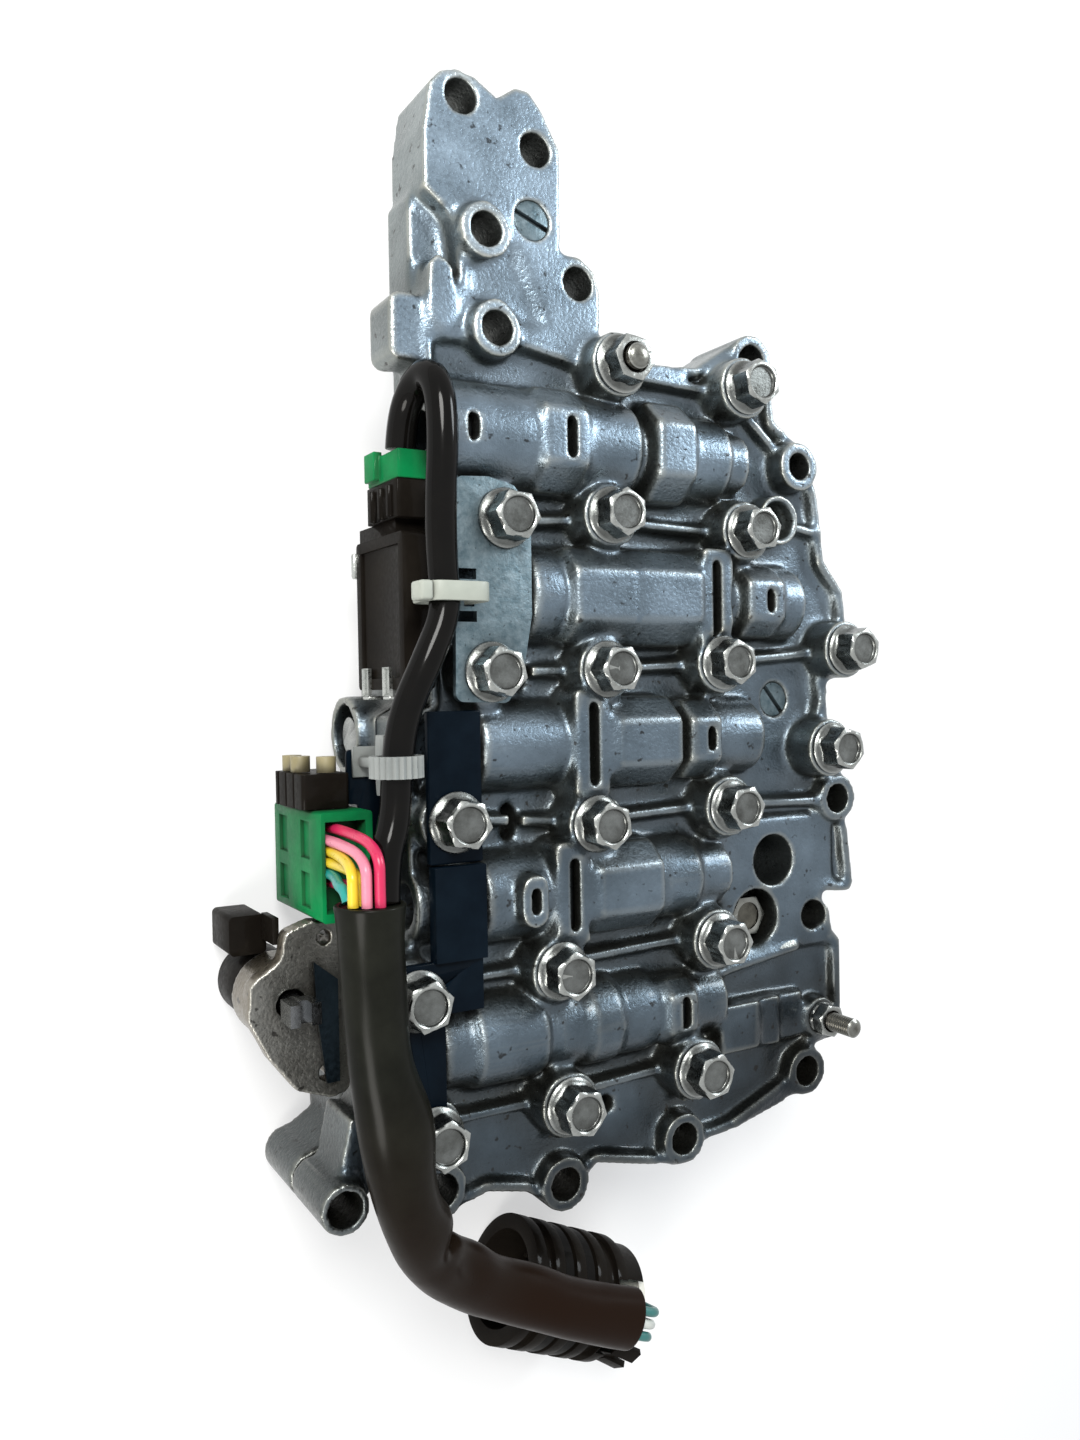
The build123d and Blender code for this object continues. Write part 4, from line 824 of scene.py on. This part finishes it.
# flange bolts
boltSettings = {
    "places": [
        (41.5, 35.0), (-29.0, -2.5), (0.0, 0.0), (41.5, -1.5), (-33.0, -37.0), (-2.0, -36.5), (33.0, -35.0),
        (76.0, -31.5), (-42.5, -70.0), (-5.5, -73.0), (35.0, -71.5), (70.0, -58.0), (-52.5, -108.0),
        (-16.0, -106.5), (30.5, -105.0), (-49.0, -138.5), (-14.0, -138.5), (24.0, -137.0),
    ],
    "turns": [10, 25, 0, 40, 15, 32, 5, 48, 20, 8, 36, 14, 44, 2, 28, 50, 18, 38],
    "brown": (1, 4, 8, 12, 15),
    "seat": 50.0,
    "head": [
        (1.0, 6.1, 0), (3.65, 6.12, 0), (3.85, 6.3, 0), (4.0, 6.8, 0), (4.3, 7.0, 0), (4.75, 6.95, 0.1),
        (5.0, 6.55, 0.85), (5.0, 6.15, 1), (5.0, 1.8, 1), (5.25, 1.5, 0.6), (6.0, 1.15, 0), (6.6, 0.85, 0),
        (6.8, 0.6, 0), (6.8, 0.25, 0), (6.6, 0.02, 0), (3.0, 0.02, 0), (3.0, -38.0, 0),
    ],
}


def headPart(centre, brown):
    # which of the bolt finishes a face takes: painted shade in the dish and on the hex sides, a painted highlight on
    # the top rim
    reach = (centre.x ** 2 + centre.y ** 2) ** 0.5
    if centre.z > 5.9 and reach < 3.75:
        return 1
    if centre.z > 6.3:
        return 2
    if centre.z > 1.75 and reach > 4.7:
        return 3
    return 4 if brown else 0


def makeBolts(s):
    bm = bmesh.new()
    for n, ((x, y), turn) in enumerate(zip(s["places"], s["turns"])):
        place = Matrix.Translation((x, y, s["seat"])) @ Matrix.Rotation(radians(turn), 4, "Z")
        before = set(bm.faces)
        verts = lathe(bm, s["head"], 48)
        for face in set(bm.faces) - before:
            face.material_index = headPart(face.calc_center_median(), n in s["brown"])
        bmesh.ops.transform(bm, matrix=place, verts=verts)
    settle(bm)
    piece = newPiece("flangeBolts", bm, zincSteel)
    for material in (shadedZincDish, brightZincAndHighlight, darkZincAndShade, brownZinc):
        piece.data.materials.append(material)
    piece.data.set_sharp_from_angle(angle=radians(35))
    return finishPiece(piece, "zinc_steel", "body_bolts")


makeBolts(boltSettings)
print("bolts made")

# studs and nuts
studs = [
    {"name": "bodyStud", "node": "body_stud", "place": (3.0, 36.0), "radius": 3.0,
     "low": 11.0, "thread": 55.5, "top": 58.5, "pitch": 1.0},
    {"name": "smallStud", "node": "small_stud", "place": (70.0, -132.5), "radius": 2.5,
     "low": 28.5, "thread": 48.5, "top": 58.0, "pitch": 0.8},
]
nuts = [
    {"name": "flangeNut", "node": "flange_nut", "place": (3.0, 36.0, 50.0), "turn": 22, "rings": [
        (3.15, 0.05, 0), (6.7, 0.05, 0), (7.0, 0.35, 0), (7.0, 0.8, 0), (6.4, 1.15, 0), (5.3, 1.55, 0.5),
        (5.0, 1.9, 1), (5.0, 6.0, 1), (4.95, 6.3, 0.75), (4.6, 6.55, 0), (3.7, 6.5, 0), (3.15, 5.9, 0),
        (3.15, 0.05, 0)]},
    {"name": "smallNut", "node": "small_nut", "place": (70.0, -132.5, 45.0), "turn": 12, "rings": [
        (2.65, 0.05, 0), (4.3, 0.05, 0), (4.45, 0.3, 0), (4.4, 0.8, 0), (4.0, 1.0, 1), (4.0, 4.0, 1),
        (3.9, 4.3, 0.6), (3.6, 4.45, 0), (3.0, 4.4, 0), (2.65, 4.0, 0), (2.65, 0.05, 0)]},
]


def makeStud(s):
    bm = bmesh.new()
    radius = s["radius"]
    rings = [(0.4, s["top"], 0), (radius - 0.9, s["top"], 0), (radius - 0.4, s["top"] - 0.5, 0)]
    height = s["top"] - 0.8
    while height > s["thread"]:
        rings += [(radius, height, 0), (radius, height - 0.15, 0), (radius - 0.38, height - s["pitch"] / 2, 0)]
        height -= s["pitch"]
    rings += [(radius, height, 0), (radius, s["low"] + 0.5, 0), (radius - 0.5, s["low"], 0), (0.4, s["low"], 0)]
    lathe(bm, rings, 32, Matrix.Translation((*s["place"], 0)))
    settle(bm)
    piece = newPiece(s["name"], bm, darkZincAndShade)
    piece.data.set_sharp_from_angle(angle=radians(50))
    return finishPiece(piece, "zinc_steel", s["node"])


def makeNut(s):
    bm = bmesh.new()
    place = Matrix.Translation(s["place"]) @ Matrix.Rotation(radians(s["turn"]), 4, "Z")
    lathe(bm, s["rings"], 48, place, closed=False)
    settle(bm)
    piece = newPiece(s["name"], bm, zincSteel)
    piece.data.set_sharp_from_angle(angle=radians(35))
    return finishPiece(piece, "zinc_steel", s["node"])


for stud in studs:
    makeStud(stud)
for nut in nuts:
    makeNut(nut)
print("studs and nuts made")

# strap and clip on the thin conduit, spring clips on the box
strapSettings = {
    "left": -51.6, "right": -37.4, "low": 46.9, "high": 60.1, "middle": -20.0, "width": 4.2,
    "thickness": 1.1, "square": 5, "lock": ((-54.2, -22.1, 54.0), (-51.2, -17.9, 59.4)),
}


def makeStrap(s):
    bm = bmesh.new()
    verts = bmesh.ops.create_circle(bm, cap_ends=False, segments=64, radius=1.0)["verts"]
    middle = Vector(((s["left"] + s["right"]) / 2, s["middle"] - s["width"] / 2, (s["low"] + s["high"]) / 2))
    reachX = (s["right"] - s["left"]) / 2
    reachZ = (s["high"] - s["low"]) / 2
    for v in verts:
        angle = atan2(v.co.y, v.co.x)
        c, d = cos(angle), sin(angle)
        size = (abs(c) ** s["square"] + abs(d) ** s["square"]) ** (-1 / s["square"])
        v.co = middle + Vector((reachX * c * size, 0, reachZ * d * size))
    grown = bmesh.ops.extrude_edge_only(bm, edges=bm.edges[:])
    moved = [g for g in grown["geom"] if isinstance(g, bmesh.types.BMVert)]
    bmesh.ops.translate(bm, vec=Vector((0, s["width"], 0)), verts=moved)
    bmesh.ops.recalc_face_normals(bm, faces=bm.faces)
    bmesh.ops.solidify(bm, geom=bm.faces[:], thickness=s["thickness"])
    rims = [e for e in bm.edges if e.is_manifold and e.calc_face_angle(0) > 1.2]
    bmesh.ops.bevel(bm, geom=rims, offset=0.3, segments=2, profile=0.5, affect="EDGES", material=-1)
    slab(bm, *s["lock"], 0.7, 3)
    settle(bm)
    piece = newPiece("cableTie", bm, creamNylon)
    piece.data.set_sharp_from_angle(angle=radians(40))
    return finishPiece(piece, "grey_plastic", "cable_tie")


clipSettings = {
    "centre": (-58.2, -56.8, 54.2), "inner": 4.0, "outer": 5.3, "width": 4.6, "teeth": 22, "tooth": 0.5,
    "stem": ((-57.6, -57.9, 27.2), (-55.4, -55.7, 50.4)),
    "foot": ((-59.5, -60.3, 31.1), (-53.5, -53.3, 32.3)),
    "wing": ((-59.4, -63.3, 45.2), (-57.2, -50.3, 49.6)),
    "waist": 0.55, "arch": 1.6, "drop": 0.8,  # how the wing narrows to its middle and lifts at its tips
}


def makeClip(s):
    bm = bmesh.new()
    half = s["width"] / 2
    rings = [(s["inner"], -half, 0), (s["outer"], -half, 0), (s["outer"], half, 0), (s["inner"], half, 0),
             (s["inner"], -half, 0)]
    verts = lathe(bm, rings, s["teeth"] * 4, closed=False)
    for v in verts:
        if v.co.xy.length > s["outer"] - 0.1:
            lift = s["tooth"] * (0.5 + 0.5 * cos(atan2(v.co.y, v.co.x) * s["teeth"]))
            v.co.xy = v.co.xy.normalized() * (s["outer"] + lift)
    turned = Matrix.Translation(s["centre"]) @ Matrix.Rotation(pi / 2, 4, "X")
    bmesh.ops.transform(bm, matrix=turned, verts=verts)
    slab(bm, *s["stem"], 0.4)
    slab(bm, *s["foot"], 0.3)
    wing = slab(bm, *s["wing"])
    edges = {e for v in wing for e in v.link_edges}
    lengthways = [e for e in edges if abs((e.verts[0].co - e.verts[1].co).y) > 5]
    bmesh.ops.subdivide_edges(bm, edges=lengthways, cuts=8, use_grid_fill=True)
    low, high = s["wing"]
    middleX, middleY = (low[0] + high[0]) / 2, (low[1] + high[1]) / 2
    for v in bm.verts:
        x, y, z = v.co
        if low[0] - 0.01 < x < high[0] + 0.01 and low[1] - 0.01 < y < high[1] + 0.01 and z < high[2] + 0.1:
            share = abs(y - middleY) / (high[1] - middleY)
            v.co.x += s["waist"] * (1 - share) * (1 if x < middleX else -1)
            v.co.z += s["arch"] * share ** 2 - s["drop"]
    settle(bm)
    piece = newPiece("conduitClip", bm, greyPlastic)
    piece.data.set_sharp_from_angle(angle=radians(50))
    return finishPiece(piece, "grey_plastic", "conduit_clip")


boxClipSettings = {
    "left": -52.5, "thick": 0.8, "places": ((-42.0, -35.5, 23.0), (-42.0, -35.5, 35.4)), "wide": 4.0,
    "upper": ((-53.3, -14.0, 17.2), (-47.5, -8.0, 19.0)),
}


def makeBoxClips(s):
    # flat spring loops bent round the edges of the electronics box
    bm = bmesh.new()
    for low, high, z in s["places"]:
        verts = slab(bm, (s["left"] - s["thick"], low, z), (s["left"], high, z + s["wide"]))
        face = max({f for v in verts for f in v.link_faces}, key=lambda f: -f.calc_center_median().x)
        bmesh.ops.inset_region(bm, faces=[face], thickness=0.9, depth=0.0)
        bmesh.ops.translate(bm, vec=Vector((0.6, 0, 0)), verts=face.verts[:])
        slab(bm, (s["left"] - s["thick"], low - 0.8, z), (s["left"] + 4.4, low, z + s["wide"]), 0.3)
    slab(bm, *s["upper"], 0.5)
    settle(bm)
    piece = newPiece("moduleClips", bm, brightZincAndHighlight)
    piece.data.set_sharp_from_angle(angle=radians(40))
    return finishPiece(piece, "zinc_steel", "module_clips")


makeBoxClips(boxClipSettings)
makeStrap(strapSettings)
makeClip(clipSettings)
print("strap and clips made")

# valve springs, each a copy of its node in rolled steel
springs = [  # fixed end, row and length
    (-29.7, 17.0, 16.09), (23.3, -19.0, 15.09), (21.7, -54.0, 13.09), (-5.2, -89.0, 13.09), (12.3, -122.0, 14.09),
]
for row, (fixedEnd, across, length) in enumerate(springs, 1):
    spring = dress(f"spring{row}", nodes[f"spring_{row}"].data.copy(), steelPlate)
    finishPiece(spring, "spring_steel", f"spring_{row}")
    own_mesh(spring)

print("springs set")


# stage
stageSettings = {
    "floor": 6.0, "floorColour": (0.86, 0.86, 0.86), "shade": 0.55,
    "worldColour": (0.86, 0.92, 1.0), "worldStrength": 0.45,
}


def seenDirectly(tree):
    # one for what the camera sees, also in gloss and through clear pieces
    path = make(tree, "ShaderNodeLightPath")
    mask = maths(tree, "MAXIMUM", path.outputs["Is Camera Ray"], path.outputs["Is Glossy Ray"])
    return maths(tree, "MAXIMUM", mask, path.outputs["Is Transmission Ray"])


def layFloor(s):
    bm = bmesh.new()
    bmesh.ops.create_grid(bm, x_segments=1, y_segments=1, size=s["floor"] / 2)
    floor = newPiece("floor", bm)
    material = bpy.data.materials.new("paleFloor")
    material.use_nodes = True
    tree = material.node_tree
    shader = tree.nodes["Principled BSDF"]
    shader.inputs["Base Color"].default_value = (*s["floorColour"], 1)
    shader.inputs["Roughness"].default_value = 0.9
    shader.inputs["Specular IOR Level"].default_value = 0.0
    glow = make(tree, "ShaderNodeEmission", in_Color=(1, 1, 1, 1), in_Strength=1.0)
    mixer = make(tree, "ShaderNodeMixShader")
    link(tree, maths(tree, "MULTIPLY", seenDirectly(tree), s["shade"]), mixer.inputs[0])
    link(tree, shader.outputs[0], mixer.inputs[1])
    link(tree, glow.outputs[0], mixer.inputs[2])
    link(tree, mixer.outputs[0], tree.nodes["Material Output"].inputs["Surface"])
    floor.data.materials.append(material)


def lightWorld(s):
    world = bpy.data.worlds.new("studio")
    bpy.context.scene.world = world
    world.use_nodes = True
    tree = world.node_tree
    plain = tree.nodes["Background"]
    plain.inputs["Color"].default_value = (*s["worldColour"], 1)
    plain.inputs["Strength"].default_value = s["worldStrength"]
    white = make(tree, "ShaderNodeBackground", in_Color=(1, 1, 1, 1), in_Strength=1.0)
    mixer = make(tree, "ShaderNodeMixShader")
    link(tree, seenDirectly(tree), mixer.inputs[0])
    link(tree, plain.outputs[0], mixer.inputs[1])
    link(tree, white.outputs[0], mixer.inputs[2])
    link(tree, mixer.outputs[0], tree.nodes["World Output"].inputs["Surface"])


lamps = [
    {"name": "keyLamp", "place": (-0.35, 0.45, 0.75), "size": 0.35, "power": 9.0, "colour": (1.0, 0.99, 0.96)},
    {"name": "sideLamp", "place": (0.6, 0.35, 0.42), "size": 0.25, "power": 3.5, "colour": (0.9, 0.96, 1.0)},
    {"name": "lowLamp", "place": (-0.55, -0.35, 0.4), "size": 0.3, "power": 3.0, "colour": (1.0, 0.97, 0.92)},
]


def hangLamps(rows):
    for s in rows:
        data = bpy.data.lights.new(s["name"], "AREA")
        data.shape = "DISK"
        data.size = s["size"]
        data.energy = s["power"]
        data.color = s["colour"]
        lamp = bpy.data.objects.new(s["name"], data)
        bpy.context.scene.collection.objects.link(lamp)
        lamp.location = s["place"]
        aim = Vector((0, 0, 0.03)) - Vector(s["place"])
        lamp.rotation_euler = aim.to_track_quat("-Z", "Y").to_euler()


layFloor(stageSettings)
lightWorld(stageSettings)
hangLamps(lamps)
bpy.context.scene.view_settings.view_transform = "Standard"
print("stage set")
